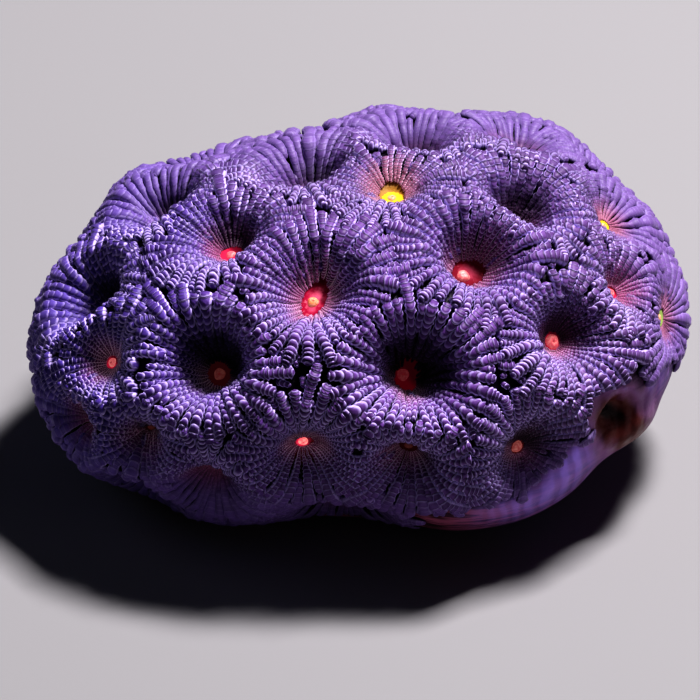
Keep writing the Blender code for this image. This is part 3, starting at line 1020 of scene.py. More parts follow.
@dataclass(frozen=True)
class FleshFinish:
    """Near-black flesh, painted shade for the gaps between ridges and the pits' walls, red round
    the mouths, with a streaked and folded margin and a pale cut.
    """

    groups: Groups
    # dark is painted shade: the near-black of the gaps between the ridges and of the pits' walls.
    dark: Colour = (0.007, 0.003, 0.013)
    red: Colour = (0.260, 0.008, 0.024)
    brown: Colour = (0.045, 0.012, 0.022)
    rose: Colour = (0.400, 0.115, 0.200)
    # The pocket's near-black middle is painted shade.
    painted_hollow_shade: Colour = (0.014, 0.002, 0.003)
    pocket: Colour = (0.130, 0.030, 0.026)
    lip: Colour = (0.300, 0.130, 0.300)
    # The veil's pale violet is partly the margin's own colour and partly painted light, brightened where
    # little light reaches.
    veil: Colour = (0.460, 0.300, 0.920)
    bone: Colour = (0.620, 0.540, 0.430)
    pore: Colour = (0.260, 0.200, 0.140)
    near_mouth: Span = (0.22, 0.62, 1.0, 0.0)
    folds_from: Pair = (0.008, 0.020)
    streak_scale: Colour = (230.0, 230.0, 1900.0)

    def build(self) -> bpy.types.Material:
        """Makes the flesh's material: body, then margin, then pocket, then cut over one another."""
        finish = Finish("dark_flesh")
        graph = finish.graph
        cut, skirt, pocket = [graph.note(name) for name in ("cut", "skirt", "pocket")]
        mouth = graph.blend(0.5, self.red, graph.use(self.groups.glow)["Glow"])
        body = graph.blend(graph.note("share").span(*self.near_mouth), self.dark, mouth)
        folds = self.folds(graph)
        folded = graph.axes()[0].span(*self.folds_from) * skirt.span(0.1, 0.7)
        streaks = self.streaks(graph) * (folded * -0.6 + 1.0)
        veiled = graph.note("edge").span(0.90, 1.02, 0.95, 0.15) * folded * folds.span(0.0, 0.8, 0.70, 1.0)
        margin = graph.blend(veiled, graph.blend(streaks, self.brown, self.rose), self.veil)
        # A faint painted glow on the veiled margin.
        finish.emit(veiled * pocket.span(3.5, 6.0), self.veil, 0.10)
        body = graph.blend(skirt.span(0.05, 0.60), body, margin)
        # The pocket: painted shade in its middle, then brown, then the lip.
        away = pocket + (graph.cloud(520.0) * 1.8 - 0.9)
        inside = graph.blend(away.span(0.8, 1.7), self.painted_hollow_shade, self.pocket)
        around = graph.blend(away.span(1.9, 3.4), inside, self.lip)
        body = graph.blend(away.span(3.0, 5.5, 1.0, 0.0), body, around)
        pores = graph.add("ShaderNodeTexVoronoi", {"Vector": graph.place(), "Scale": 1500.0})
        holes = Number(graph, pores.outputs["Distance"]).span(0.15, 0.45, 1.0, 0.0)
        body = graph.blend(cut, body, graph.blend(holes, self.bone, self.pore))
        rough = (graph.cloud(700.0) * 0.25 + 0.40) * pocket.span(2.5, 5.0, 0.75, 1.0)
        finish.feed(Base_Color=body, Roughness=cut * 0.45 + rough, Specular_IOR_Level=0.18)
        grain = Number(graph, graph.use(self.groups.grain, Scale=0.7)["Height"])
        finish.bump(grain + streaks * 0.6 + folds * (folded * 3.0), 0.5, 0.15 * MM)
        return finish.material

    def streaks(self, graph: Graph) -> Number:
        """Noise drawn out level round the colony."""
        stretched = graph.add("ShaderNodeMapping", {"Vector": graph.place(), "Scale": self.streak_scale})
        sockets = {"Vector": stretched.outputs[0], "Scale": 1.0, "Detail": 3.0}
        return Number(graph, graph.add("ShaderNodeTexNoise", sockets).outputs["Fac"]).span(0.40, 0.60)

    def folds(self, graph: Graph) -> Number:
        """Uneven waves across the colony, for the folds of the smooth margin."""
        sockets = {"Vector": graph.place(), "Scale": 210.0, "Distortion": 9.0}
        sockets = {**sockets, "Detail": 3.0, "Detail Scale": 0.6}
        settings = {"wave_type": "BANDS", "bands_direction": "X"}
        return Number(graph, graph.add("ShaderNodeTexWave", sockets, **settings).outputs["Fac"])


@dataclass(frozen=True)
class DiscFinish:
    """The disc round a mouth: dark at its rim and in painted shade to the upper right, with a pink
    ring and blotches that are partly painted highlight.
    """

    groups: Groups
    # maroon: the dark of the rim and of brown mouths, and the colour of the painted shade.
    maroon: Colour = (0.040, 0.001, 0.007)
    blotch_and_painted_highlight: Colour = (0.560, 0.150, 0.200)
    ringed: Colour = (0.620, 0.120, 0.200)
    warm_only: Span = (0.50, 0.62, 1.0, 0.15)
    brown_only: Span = (0.84, 0.93, 0.0, 0.85)
    pale_only: Pair = (0.55, 0.95)
    glow_strength: float = 1.30

    def build(self) -> bpy.types.Material:
        """Makes the discs' material."""
        finish = Finish("mouth_disc")
        graph = finish.graph
        glow, radius, shade = [graph.note(name) for name in ("glow", "radius", "shade")]
        colour = graph.use(self.groups.glow)["Glow"]
        warm = glow.span(*self.warm_only)
        pale = graph.note("pale").span(*self.pale_only)
        spot = graph.cloud(1500.0, 2.0) * 0.5 + radius
        rim = spot.span(0.80, 1.20, 0.0, 0.8) * warm
        # Painted shade, growing towards the disc's upper right.
        shaded = shade.span(-0.05, 0.45) * warm
        dark = graph.maths("MAXIMUM", graph.maths("MAXIMUM", rim, shaded), glow.span(*self.brown_only))
        body = graph.blend(dark, colour, graph.blend(0.85, colour, self.maroon))
        # Pink blotches: a random pattern, denser away from the painted shade, so partly a painted
        # highlight.
        blotch = graph.cloud(2200.0).span(0.50, 0.66, 0.0, 0.50) * radius.span(0.40, 0.85, 1.0, 0.10)
        blotch = blotch * pale * shade.span(-0.4, 0.3, 1.5, 0.2)
        body = graph.blend(blotch, body, self.blotch_and_painted_highlight)
        body = graph.blend(spot.span(0.40, 0.80, 0.7, 0.0) * pale * warm, body, self.ringed)
        finish.emit(graph.note("shine"), body, self.glow_strength)
        finish.feed(Base_Color=body, Roughness=blotch * 0.2 + 0.50, Specular_IOR_Level=0.03)
        finish.bump(graph.use(self.groups.grain, Scale=0.8)["Height"], 0.4, 0.10 * MM)
        return finish.material


@dataclass(frozen=True)
class BeadFinish:
    """The mouth itself: a bright rounded bead with a darker dimple."""

    groups: Groups
    pink: Colour = (0.760, 0.200, 0.200)
    amber: Colour = (0.640, 0.250, 0.090)
    flecked: Colour = (0.860, 0.480, 0.380)
    dimple: Colour = (0.220, 0.016, 0.020)
    amber_only: Pair = (0.82, 0.90)
    glow_strength: float = 1.10

    def build(self) -> bpy.types.Material:
        """Makes the mouths' material."""
        finish = Finish("mouth_bead")
        graph = finish.graph
        pale = graph.note("pale")
        warm = graph.blend(pale.span(*self.amber_only), self.pink, self.amber)
        body = graph.blend(pale * 0.85 + 0.02, graph.use(self.groups.glow)["Glow"], warm)
        body = graph.blend(graph.cloud(3800.0, 2.0).span(0.45, 0.62, 0.0, 0.5) * pale, body, self.flecked)
        hole = (graph.note("radius") + graph.cloud(5200.0, 1.0)).span(0.52, 0.78, 0.7, 0.0)
        body = graph.blend(hole, body, self.dimple)
        finish.emit(graph.note("shine"), body, self.glow_strength)
        tone = Number(graph, graph.use(self.groups.grain, Scale=0.9)["Tone"])
        finish.feed(Base_Color=body, Roughness=tone * 0.2 + 0.2, Specular_IOR_Level=0.2)
        return finish.material


@dataclass
class Flesh:
    """The colony's flesh: a closed surface with all its pits, on the flat cut."""

    pits: PitField
    around: int = 330
    down: int = 132
    base_rings: int = 10
    turned_away: Pair = (-0.18, 0.20)

    def build(self, material: bpy.types.Material) -> bpy.types.Object:
        """Builds the flesh as a grid of turns and tilts.

        Each row of the grid is a share of the tilt from the top to the cut's rim. Its points are
        those of the smooth form, sunk by the relief. Under the rim, rows shrink evenly to the
        middle of the cut. A pole closes each end.

        Args:
            material: the flesh's material.

        Returns:
            The flesh.
        """
        boulder = self.pits.boulder
        turns = 2 * math.pi * np.arange(self.around) / self.around
        rim = boulder.tilt_of_cut(turns)
        shares = np.arange(1, self.down + 1) / self.down
        tilt = (shares[:, None] * rim[None]).ravel()
        turn = np.tile(turns, self.down)
        ways = np.stack([np.sin(tilt) * np.cos(turn), np.sin(tilt) * np.sin(turn), np.cos(tilt)], 1)
        ways = np.vstack([[0.0, 0.0, 1.0], ways])
        skin = boulder.points(ways)
        corners = boulder.placed(self.pits.flesh(skin))
        corners[-self.around :, 2] = 0.0
        edge = corners[-self.around :]
        middle = edge.mean(axis=0)
        inward = 1 - np.arange(1, self.base_rings) / self.base_rings
        base = (middle + inward[:, None, None] * (edge - middle)[None]).reshape(-1, 3)
        quads, triangles = closed_grid(self.around, self.down + self.base_rings - 1)
        piece = Piece.make("flesh", np.vstack([corners, base, middle]), quads, triangles)
        self.notes(piece, skin, len(base) + 1)
        Piece.join(piece, material)
        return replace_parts(piece, NODE)

    def notes(self, piece: bpy.types.Object, skin: Array, on_cut: int) -> None:
        """Stores what the material reads, with one value of each kind for the cut.

        Args:
            piece: the flesh.
            skin: the points of the smooth form over its corners.
            on_cut: how many corners lie on the cut.
        """
        pits, boulder = self.pits, self.pits.boulder
        owner, share = pits.share(skin)
        behind = fall(boulder.normals(skin) @ boulder.photo.towards, *self.turned_away)
        notes = {
            "share": (share, 1.0),
            "cut": (np.zeros(len(skin)), 1.0),
            "glow": (np.array([pit.glow.value for pit in pits.pits])[owner], Glow.RED.value),
            "skirt": (pits.skirt(skin), 1.0),
            "edge": (boulder.edge_shares(skin)[0], 2.0),
            "pocket": (pits.from_pocket(skin) / MM + 6.0 * behind, 50.0),
        }
        for name, (values, cut_value) in notes.items():
            Piece.note(piece, name, np.concatenate([values, np.full(on_cut, cut_value)]))


def closed_grid(around: int, rows: int) -> tuple[Whole, Whole]:
    """Faces of a closed grid: a first pole, rows of corners that run round, and a last pole.

    Args:
        around: corners in a row, anticlockwise as seen from the first pole.
        rows: the number of rows.

    Returns:
        The quads between the rows and the triangles round the poles.
    """
    column = np.arange(around)
    after = (column + 1) % around
    start = 1 + around * np.arange(rows - 1)[:, None]
    quads = np.stack(
        [start + column, start + around + column, start + around + after, start + after], axis=2
    ).reshape(-1, 4)
    last = 1 + around * (rows - 1)
    top = np.stack([np.zeros(around, int), 1 + column, 1 + after], 1)
    bottom = np.stack([np.full(around, 1 + around * rows), last + after, last + column], 1)
    return quads, np.vstack([top, bottom])


@dataclass
class Ridge:
    """One ridge: its line on the smooth form, half widths, distances from the mouth and chance."""

    places: Array
    widths: Array
    reach: Array
    tone: float


@dataclass
class RidgeFan:
    """The beaded ridges that climb from one mouth to the walls of its pit.

    uneven_start, bare_from and short_half are the least and the most that chance gives, and
    overshoot is a mean and its spread. opening and closing are how large the first two and the
    last two rings of a ridge are beside the others. ring_turns are the turns of a ring's corners.
    """

    pits: PitField
    pit: int
    step: float = 0.2 * MM
    pitch: float = 1.24 * MM
    least: int = 22
    most: int = 32
    bend: float = 0.26
    fill_gap: float = 1.60 * MM
    furthest: float = 12.5 * MM
    thinnest: float = 0.12 * MM
    thickest: float = 0.74 * MM
    bead_near: float = 0.20 * MM
    bead_far: float = 0.46 * MM
    least_room: float = 0.05 * MM
    share_of_reach: float = 0.92
    uneven_turn: float = 0.16
    turn_by_pit: float = 2.4
    uneven_start: Pair = (0.92, 1.06)
    overshoot: Pair = (0.22 * MM, 0.45 * MM)
    bare_from: Pair = (0.15, 0.75)
    first_fill: int = 12
    least_steps: int = 8
    near_share: float = 0.40
    more_share: float = 0.09
    fill_share: float = 0.44
    swollen: float = 0.34
    short_half: Pair = (0.34 * MM, 0.60 * MM)
    short_bend: float = 0.30
    tries: int = 24000
    wall_from: float = 0.45
    bare_most: float = 0.40
    # the depths in mm over which the painted shade on the upper wall sets in
    painted_shade_depth: Pair = (1.6, 2.4)
    opening: Pair = (0.55, 0.85)
    closing: Pair = (0.90, 0.55)
    pinch: float = 0.80
    top_pinch: float = 0.86
    foot_height: float = 0.12 * MM
    steepness: float = 1.60
    sunk_share: float = 0.62
    tip: float = 0.4
    ring_turns: Array = field(
        default_factory=lambda: np.radians([-24.0, 30.0, 70.0, 110.0, 150.0, 204.0])
    )
    map_edges: Array = field(default_factory=lambda: np.array([0.0, 0.19, 0.38, 0.57, 0.76, 0.95, 1.0]))
    draw: np.random.Generator = field(init=False)
    ridges: list[Ridge] = field(init=False)

    def __post_init__(self) -> None:
        """Seeds the fan's own chance, the same on each run, and lays out its ridges."""
        self.draw = np.random.default_rng(100 + self.pit)
        self.ridges = self.lay_out()

    @property
    def name(self) -> str:
        """The piece's name."""
        return f"ridges_{self.pit + 1:02d}"

    def wall_gap(self, places: Array) -> tuple[Array, Whole]:
        """How far each place is inside this pit's cell.

        Args:
            places: points of the smooth form.

        Returns:
            The distances, negative past the wall, and the number of the pit over that wall.
        """
        distance = np.linalg.norm(places[:, None] - self.pits.centres[None], axis=2) - self.pits.spreads
        own = distance[:, self.pit].copy()
        distance[:, self.pit] = np.inf
        return (distance.min(axis=1) - own) / 2, distance.argmin(axis=1)

    def trace(self, angles: Array, starts: Array, steps: int) -> Array:
        """Lines along the smooth form, from the mouth outwards, all at once.

        Each step goes straight away from the pit's axis near the mouth, and turns by degrees
        towards the next pit as it nears the wall, so that ridges meet the wall about squarely.

        Args:
            angles: each ridge's direction round the axis.
            starts: how far from the axis each one starts.
            steps: the number of steps.

        Returns:
            The lines' points: ridges by steps by three.
        """
        pits, boulder = self.pits, self.pits.boulder
        centre = pits.centres[self.pit]
        places = boulder.onto(centre + ways_round(pits.normals[self.pit], angles) * starts[:, None])
        line = [places]
        for _ in range(steps - 1):
            gap, other = self.wall_gap(places)
            away = np.linalg.norm(places - centre, axis=1)
            turned = self.bend * smooth(away / (away + np.maximum(gap, 0) + 1e-9))[:, None]
            aim = unit(pits.centres[other] - centre)
            way = unit(unit(places - centre) * (1 - turned) + aim * turned)
            normal = boulder.normals(places)
            way = unit(way - dot(way, normal)[:, None] * normal)
            places = boulder.onto(places + way * self.step)
            line.append(places)
        return np.stack(line, axis=1)

    def ends(self, lines: Array) -> Whole:
        """Where each line stops: a little before or past the wall, or at the bare margin.

        Args:
            lines: what trace gives.

        Returns:
            The number of each line's last step.
        """
        count, steps = lines.shape[:2]
        gap, _ = self.wall_gap(lines.reshape(-1, 3))
        gap = gap.reshape(count, steps)
        overshoot = self.draw.normal(*self.overshoot, count)[:, None]
        reach = np.linalg.norm(lines - self.pits.centres[self.pit], axis=2)
        bare = self.pits.skirt(lines.reshape(-1, 3)).reshape(count, steps)
        bare = bare > self.draw.uniform(*self.bare_from, count)[:, None]
        past = (gap < -overshoot) | bare | (reach > self.furthest)
        return np.where(past.any(axis=1), past.argmax(axis=1), steps - 1)

    def lay_out(self) -> list[Ridge]:
        """Works out every ridge of the fan: its line on the smooth form and its half width.

        Main ridges start at the rim of the disc. Where two of them stand further apart than the
        fill gap, a short ridge runs midway between them. The half width follows the room that
        there is, with swellings here and there.

        Returns:
            The main ridges, each followed by the short one beside it.
        """
        pits = self.pits
        pit = pits.pits[self.pit]
        reach = self.mean_reach()
        count = round(2 * math.pi * reach * self.share_of_reach / self.pitch)
        count = int(np.clip(count, self.least, self.most))
        uneven = self.draw.uniform(-self.uneven_turn, self.uneven_turn, count)
        angles = 2 * math.pi * (np.arange(count) + uneven) / count + self.turn_by_pit * self.pit
        starts = disc_rim(pit, angles) * self.draw.uniform(*self.uneven_start, count)
        steps = int(self.furthest / self.step)
        lines = self.trace(angles, starts, steps)
        stops = self.ends(lines)
        nexts = np.roll(lines, -1, axis=0)
        apart = np.linalg.norm(nexts - lines, axis=2)
        stops_both = np.minimum(stops, np.roll(stops, -1))
        index = np.arange(steps)
        wide = (apart > self.fill_gap) & (index[None] > self.first_fill)
        first = np.where(wide.any(axis=1), wide.argmax(axis=1), steps)
        filled = stops_both - first > 5
        ramp = smooth((index[None] - first[:, None] + 4) / 8.0) * filled[:, None]
        room = apart * (1 - self.fill_share * ramp)
        room = (room + np.roll(room, 1, axis=0)) / 2
        ridges = []
        for k in range(count):
            if stops[k] > self.least_steps:
                close = smooth(index[: stops[k] + 1] * self.step / (3.0 * MM))
                widths = (self.near_share + self.more_share * close) * room[k, : stops[k] + 1]
                ridges.append(self.ridge(lines[k, : stops[k] + 1], widths, 0))
            if filled[k]:
                span = slice(first[k] - 2, stops_both[k] + 1)
                middle = pits.boulder.onto((lines[k, span] + nexts[k, span]) / 2)
                widths = 0.25 * apart[k, span]
                ridges.append(self.ridge(middle, widths, first[k] - 2))
        return ridges

    def fill_in(self, others: list["RidgeFan"]) -> None:
        """Adds short ridges where the ridges of this pit and of the pits round it leave room.

        Places on the walls are tried in the order of their room, which is the distance to the
        nearest ridge's side. A new ridge is centred on the place with the most room and points
        roughly at this pit's mouth.

        Args:
            others: all the fans.
        """
        pits, centre = self.pits, self.pits.centres[self.pit]
        near = [fan for fan in others if np.linalg.norm(pits.centres[fan.pit] - centre) < 2 * self.furthest]
        taken = np.vstack([ridge.places[::2] for fan in near for ridge in fan.ridges])
        widths = np.concatenate([ridge.widths[::2] for fan in near for ridge in fan.ridges])
        close = np.linalg.norm(taken - centre, axis=1) < self.furthest
        taken, widths = taken[close], widths[close]
        places = pits.boulder.spiral(self.tries)
        places = places[np.linalg.norm(places - centre, axis=1) < self.furthest]
        mine, share = pits.share(places)
        ridged = pits.skirt(places) < self.bare_most
        places = places[(mine == self.pit) & (share > self.wall_from) & ridged]
        if not len(places):
            return
        room = (np.linalg.norm(places[:, None] - taken[None], axis=2) - widths).min(axis=1)
        while room.max() > self.least_room:
            best = places[room.argmax()]
            half = float(np.clip(room.max() + 0.22 * MM, *self.short_half))
            ridge = self.short_ridge(best, half)
            self.ridges.append(ridge)
            covered = np.linalg.norm(places[:, None] - ridge.places[None], axis=2).min(axis=1) - half
            room = np.minimum(room, covered)

    def short_ridge(self, place: Array, half: float) -> Ridge:
        """A ridge of a few beads, centred on a place and aimed about at the mouth.

        Args:
            place: a point of the smooth form.
            half: its half width.

        Returns:
            The ridge.
        """
        boulder, centre = self.pits.boulder, self.pits.centres[self.pit]
        normal = boulder.normals(place[None])[0]
        way = unit(place - centre)
        way = unit(way + self.draw.normal(0.0, self.short_bend) * np.cross(normal, way))
        length = half * self.draw.uniform(2.0, 3.6)
        count = max(int(length / self.step), 5)
        along = np.linspace(-length / 2, length / 2, count)
        places = boulder.onto(place + along[:, None] * way)
        reach = np.linalg.norm(places - centre, axis=1)
        bulge = 0.85 + 0.15 * np.sin(math.pi * np.linspace(0, 1, count))
        return Ridge(places, half * bulge, reach, self.draw.uniform())

    def mean_reach(self) -> float:
        """How far the wall is from the mouth, averaged over all directions."""
        centre = self.pits.centres[self.pit]
        angles = np.linspace(0, 2 * math.pi, 36, endpoint=False)
        ways = ways_round(self.pits.normals[self.pit], angles)
        steps = np.linspace(1 * MM, 9 * MM, 81)
        places = self.pits.boulder.onto(centre + ways[:, None] * steps[:, None])
        gap, _ = self.wall_gap(places.reshape(-1, 3))
        past = gap.reshape(len(angles), len(steps)) < 0
        return float(np.where(past.any(axis=1), steps[past.argmax(axis=1)], steps[-1]).mean())

    def ridge(self, places: Array, widths: Array, offset: int) -> Ridge:
        """One ridge's line with a slight sideways sway, its half widths and its distances.

        The sway is a sine along the line that grows from the mouth. A swelling is a bell-shaped
        bump of the width on about a third of the ridges.

        Args:
            places: points on the smooth form.
            widths: half widths that the room allows.
            offset: the number of steps between the mouth and the line's start.

        Returns:
            The ridge.
        """
        draw, boulder = self.draw, self.pits.boulder
        along = np.arange(len(places)) * self.step
        share = along / max(along[-1], 1e-6)
        normal = boulder.normals(places)
        way = np.gradient(places, axis=0)
        side = unit(np.cross(way, normal))
        wave = np.sin(2 * math.pi * (share * draw.uniform(0.6, 1.3) + draw.uniform()))
        sway = draw.uniform(0.04, 0.14) * MM * wave * smooth(share * 2)
        places = boulder.onto(places + sway[:, None] * side)
        swell = 1.0
        if draw.uniform() < self.swollen:
            middle, breadth = draw.uniform(0.45, 0.9), draw.uniform(0.08, 0.16)
            swell = 1 + draw.uniform(0.10, 0.26) * np.exp(-(((share - middle) / breadth) ** 2))
        widths = np.clip(widths, self.thinnest, self.thickest) * swell * draw.uniform(0.92, 1.04)
        return Ridge(places, widths, along + offset * self.step, draw.uniform())

    def rings(self) -> dict[str, Array]:
        """Cuts every ridge into beads, with two rings of corners to a bead.

        A bead's length grows with its distance from the mouth. The count of beads so far is the
        sum of each step over that length, scaled to end on a whole number. The rings stand
        between the beads and at their middles.

        Returns:
            The rings of all ridges, one after another, and the number of their ridge.
        """
        parts = []
        for number, ridge in enumerate(self.ridges):
            length = self.bead_near + (self.bead_far - self.bead_near) * smooth(ridge.reach / (5.0 * MM))
            waver = 1 + 0.16 * np.sin(ridge.reach / (0.43 * MM) + 40 * ridge.tone)
            step = np.linalg.norm(np.diff(ridge.places, axis=0), axis=1)
            counted = np.concatenate([[0.0], np.cumsum(step / (length * waver)[1:])])
            beads = max(int(round(counted[-1])), 2)
            counted *= beads / counted[-1]
            at = np.arange(2 * beads + 1) / 2
            chance = self.draw.normal(1.0, 0.10, beads + 1).clip(0.78, 1.24)
            chance = np.interp(at, np.arange(beads + 1) + 0.5, chance)
            ending = np.ones(len(at))
            ending[:2], ending[-2:] = self.opening, self.closing
            parts.append({
                "bead": at,
                "places": np.stack([np.interp(at, counted, axis) for axis in ridge.places.T], 1),
                "widths": np.interp(at, counted, ridge.widths) * chance,
                "reach": np.interp(at, counted, ridge.reach),
                "tone": np.full(len(at), ridge.tone),
                "ridge": np.full(len(at), number),
                "ending": ending,
            })
        return {key: np.concatenate([part[key] for part in parts]) for key in parts[0]}

    def build(self, material: bpy.types.Material) -> bpy.types.Object:
        """Builds the fan as closed tubes that lie on the flesh.

        A ring is an ellipse cut low: its corners are the half width along the side direction
        times the cosine of their turn, plus the half height along the upward direction times
        its sine. Both are pinched at the line between two beads, less so where it is soft.

        Args:
            material: the ridges' material.

        Returns:
            The fan's piece.
        """
        rings = self.rings()
        boulder, pits = self.pits.boulder, self.pits
        places = boulder.onto(rings["places"])
        normal = boulder.normals(places)
        base = places - pits.sunk(places)[:, None] * normal
        row = np.arange(len(base))
        same = rings["ridge"][1:] == rings["ridge"][:-1]
        ahead, behind = row + np.append(same, False), row - np.insert(same, 0, False)
        way = unit(base[ahead] - base[behind])
        side = unit(np.cross(way, normal))
        upward = np.cross(side, way)
        pinched = np.isclose(rings["bead"] % 1.0, 0.0, atol=1e-6)
        soft = pits.softness(places)
        fade = (0.35 + 0.65 * pits.fade(places)) * (1 - 0.7 * pits.skirt(places)) * (1 - 0.30 * soft)
        wide = np.where(pinched, self.pinch + 0.22 * soft, 1.04)
        tall = np.where(pinched, self.top_pinch + 0.14 * soft, 1.02)
        half_width = rings["widths"] * wide * rings["ending"]
        top = (self.foot_height + self.steepness * rings["widths"]) * tall * fade
        top *= 0.4 + 0.6 * rings["ending"]
        half_height = self.sunk_share * top
        centre = base + (top - half_height)[:, None] * upward
        across = np.cos(self.ring_turns)[None] * half_width[:, None]
        height = np.sin(self.ring_turns)[None] * half_height[:, None]
        corners = centre[:, None] + across[..., None] * side[:, None] + height[..., None] * upward[:, None]
        starts, stops = np.flatnonzero(behind == row), np.flatnonzero(ahead == row)
        tips_start = centre[starts] - self.tip * half_width[starts][:, None] * way[starts]
        tips_stop = centre[stops] + self.tip * half_width[stops][:, None] * way[stops]
        points = boulder.placed(np.vstack([corners.reshape(-1, 3), tips_start, tips_stop]))
        quads, triangles = self.faces(ahead, starts, stops)
        piece = Piece.make(self.name, points, quads, triangles)
        self.notes(piece, {**rings, "soft": soft, "painted_shade": self.painted_shade_share(places)}, starts, stops)
        self.bake_map(piece, rings["ridge"], starts, stops)
        return Piece.join(piece, material)

    def painted_shade_share(self, places: Array) -> Array:
        """How much painted shade each place gets: a shadow painted on the deep parts of a pit's upper and
        right wall.

        Args:
            places: points of the smooth form.

        Returns:
            Shares from 0 to the pit's own.
        """
        pits, photo = self.pits, self.pits.boulder.photo
        up = unit(places - pits.centres[self.pit]) @ unit(photo.up + 0.5 * photo.right)
        deep = rise(pits.sunk(places) / MM, *self.painted_shade_depth)
        return deep * smooth(0.45 + 0.9 * up) * pits.pits[self.pit].painted_shade

    def faces(self, ahead: Whole, starts: Whole, stops: Whole) -> tuple[Whole, Whole]:
        """The tubes' faces: a band of quads between rings, and a fan of triangles at each end.

        Args:
            ahead: the ring after each ring, or the ring itself at a ridge's end.
            starts: the first ring of each ridge.
            stops: its last ring.

        Returns:
            The quads and the triangles.
        """
        around = len(self.ring_turns)
        column = np.arange(around)
        after = (column + 1) % around
        here = np.flatnonzero(ahead != np.arange(len(ahead)))[:, None] * around
        there = here + around
        quads = np.stack([here + column, there + column, there + after, here + after], axis=2)
        tips = len(ahead) * around + np.arange(len(starts))[:, None] + np.zeros(around, int)
        first, last = starts[:, None] * around, stops[:, None] * around
        opening = np.stack([tips, first + column, first + after], 2)
        closing = np.stack([tips + len(starts), last + after, last + column], 2)
        return quads.reshape(-1, 4), np.vstack([opening.reshape(-1, 3), closing.reshape(-1, 3)])

    def notes(self, piece: bpy.types.Object, rings: dict[str, Array], starts: Whole, stops: Whole) -> None:
        """Stores what the material reads.

        Args:
            piece: the fan's piece.
            rings: the rings' numbers, by name.
            starts: the first ring of each ridge.
            stops: its last ring.
        """
        count, tips = len(rings["bead"]), len(starts) + len(stops)
        for name in ("bead", "reach", "tone", "soft", "painted_shade"):
            values = rings[name] / MM if name == "reach" else rings[name]
            spread = np.repeat(values, len(self.ring_turns))
            Piece.note(piece, name, np.concatenate([spread, values[starts], values[stops]]))
        side, lift = np.cos(self.ring_turns), np.sin(self.ring_turns)
        Piece.note(piece, "side", np.concatenate([np.tile(side, count), np.zeros(tips)]))
        Piece.note(piece, "lift", np.concatenate([np.tile(lift, count), np.full(tips, 0.5)]))
        pit, corners = self.pits.pits[self.pit], len(piece.data.vertices)
        Piece.note(piece, "glow", np.full(corners, pit.glow.value))
        Piece.note(piece, "pale", np.full(corners, pit.pale))

    def bake_map(self, piece: bpy.types.Object, ridge: Whole, starts: Whole, stops: Whole) -> None:
        """Lays each ridge on a strip of its own, in two rows, in a map for the colours.

        Args:
            piece: the fan's piece.
            ridge: the number of each ring's ridge.
            starts: the first ring of each ridge.
            stops: its last ring.
        """
        columns = math.ceil(len(starts) / 2)
        left, bottom = (ridge % columns) / columns, (ridge // columns) / 2
        share = 0.03 + 0.94 * (np.arange(len(ridge)) - starts[ridge]) / (stops - starts)[ridge]

        def strip(ring: Whole, across: Array, up: Array | float) -> Array:
            """The map's point for a ring's strip, at a share across it and a share up it."""
            u = left[ring] + (0.06 + 0.88 * across) / columns
            v = bottom[ring] + (0.02 + 0.96 * up) / 2
            return np.stack(np.broadcast_arrays(u, v), axis=-1)

        low, high = self.map_edges[:-1], self.map_edges[1:]
        middle = (low + high) / 2
        here = np.flatnonzero(np.append(ridge[1:] == ridge[:-1], False))[:, None]
        sides = ((low, here), (low, here + 1), (high, here + 1), (high, here))
        quads = np.stack([strip(here, across, share[ring]) for across, ring in sides], axis=2)
        first, last = starts[:, None], stops[:, None]
        near, far = share[first], share[last]
        opening = [strip(first, middle, 0.0), strip(first, low, near), strip(first, high, near)]
        closing = [strip(last, middle, 1.0), strip(last, high, far), strip(last, low, far)]
        corners = (quads, np.stack(opening, axis=2), np.stack(closing, axis=2))
        spots = np.vstack([part.reshape(-1, 2) for part in corners])
        layer = piece.data.uv_layers.new(name="OFBake")
        layer.uv.foreach_set("vector", np.ascontiguousarray(spots, np.float32).ravel())


def disc_rim(pit: Pit, angles: Array) -> Array:
    """The radius of a pit's disc: an ellipse of its own stretch and turn.

    Args:
        pit: the pit.
        angles: directions round its axis.

    Returns:
        One radius for each direction.
    """
    turned = angles - math.radians(pit.turn)
    long, short = pit.disc * MM * math.sqrt(pit.stretch), pit.disc * MM / math.sqrt(pit.stretch)
    return 1 / np.hypot(np.cos(turned) / long, np.sin(turned) / short)


@dataclass
class MouthShapes:
    """A closed shape at the bottom of each ridged pit, a grid of turns and rows, in one piece."""

    pits: PitField
    name: str
    around: int
    rows: int

    @property
    def turns(self) -> Array:
        """The directions round a pit's axis."""
        return 2 * math.pi * np.arange(self.around) / self.around

    def seat(self, number: int) -> tuple[Array, Array, Array]:
        """Where a pit's shape sits.

        Args:
            number: the pit's number.

        Returns:
            The directions round its axis, the middle of its floor, and its axis.
        """
        centre, normal = self.pits.centres[number], self.pits.normals[number]
        return ways_round(normal, self.turns), self.pits.flesh(centre[None])[0], normal

    def shape(self, number: int, pit: Pit) -> tuple[Array, dict[str, Array]]:
        """One pit's corners, pole by pole, and the numbers that they carry, by name."""
        raise NotImplementedError

    def build(self, material: bpy.types.Material) -> bpy.types.Object:
        """Builds the shapes of all pits in one piece.

        Args:
            material: their material.

        Returns:
            The piece.
        """
        pits = [pit for _, pit in self.pits.ridged()]
        shapes = [self.shape(number, pit) for number, pit in self.pits.ridged()]
        corners = np.stack([shape[0] for shape in shapes])
        first = corners.shape[1] * np.arange(len(shapes))[:, None, None]
        faces = closed_grid(self.around, self.rows)
        quads, triangles = [(part + first).reshape(-1, part.shape[1]) for part in faces]
        piece = Piece.make(self.name, self.pits.boulder.placed(corners.reshape(-1, 3)), quads, triangles)
        for name in shapes[0][1]:
            Piece.note(piece, name, np.concatenate([shape[1][name] for shape in shapes]))
        for name, values in (
            ("glow", [pit.glow.value for pit in pits]),
            ("shine", [pit.shine for pit in pits]),
            ("pale", [pit.pale for pit in pits]),
        ):
            Piece.note(piece, name, np.repeat(values, corners.shape[1]))
        return Piece.join(piece, material)


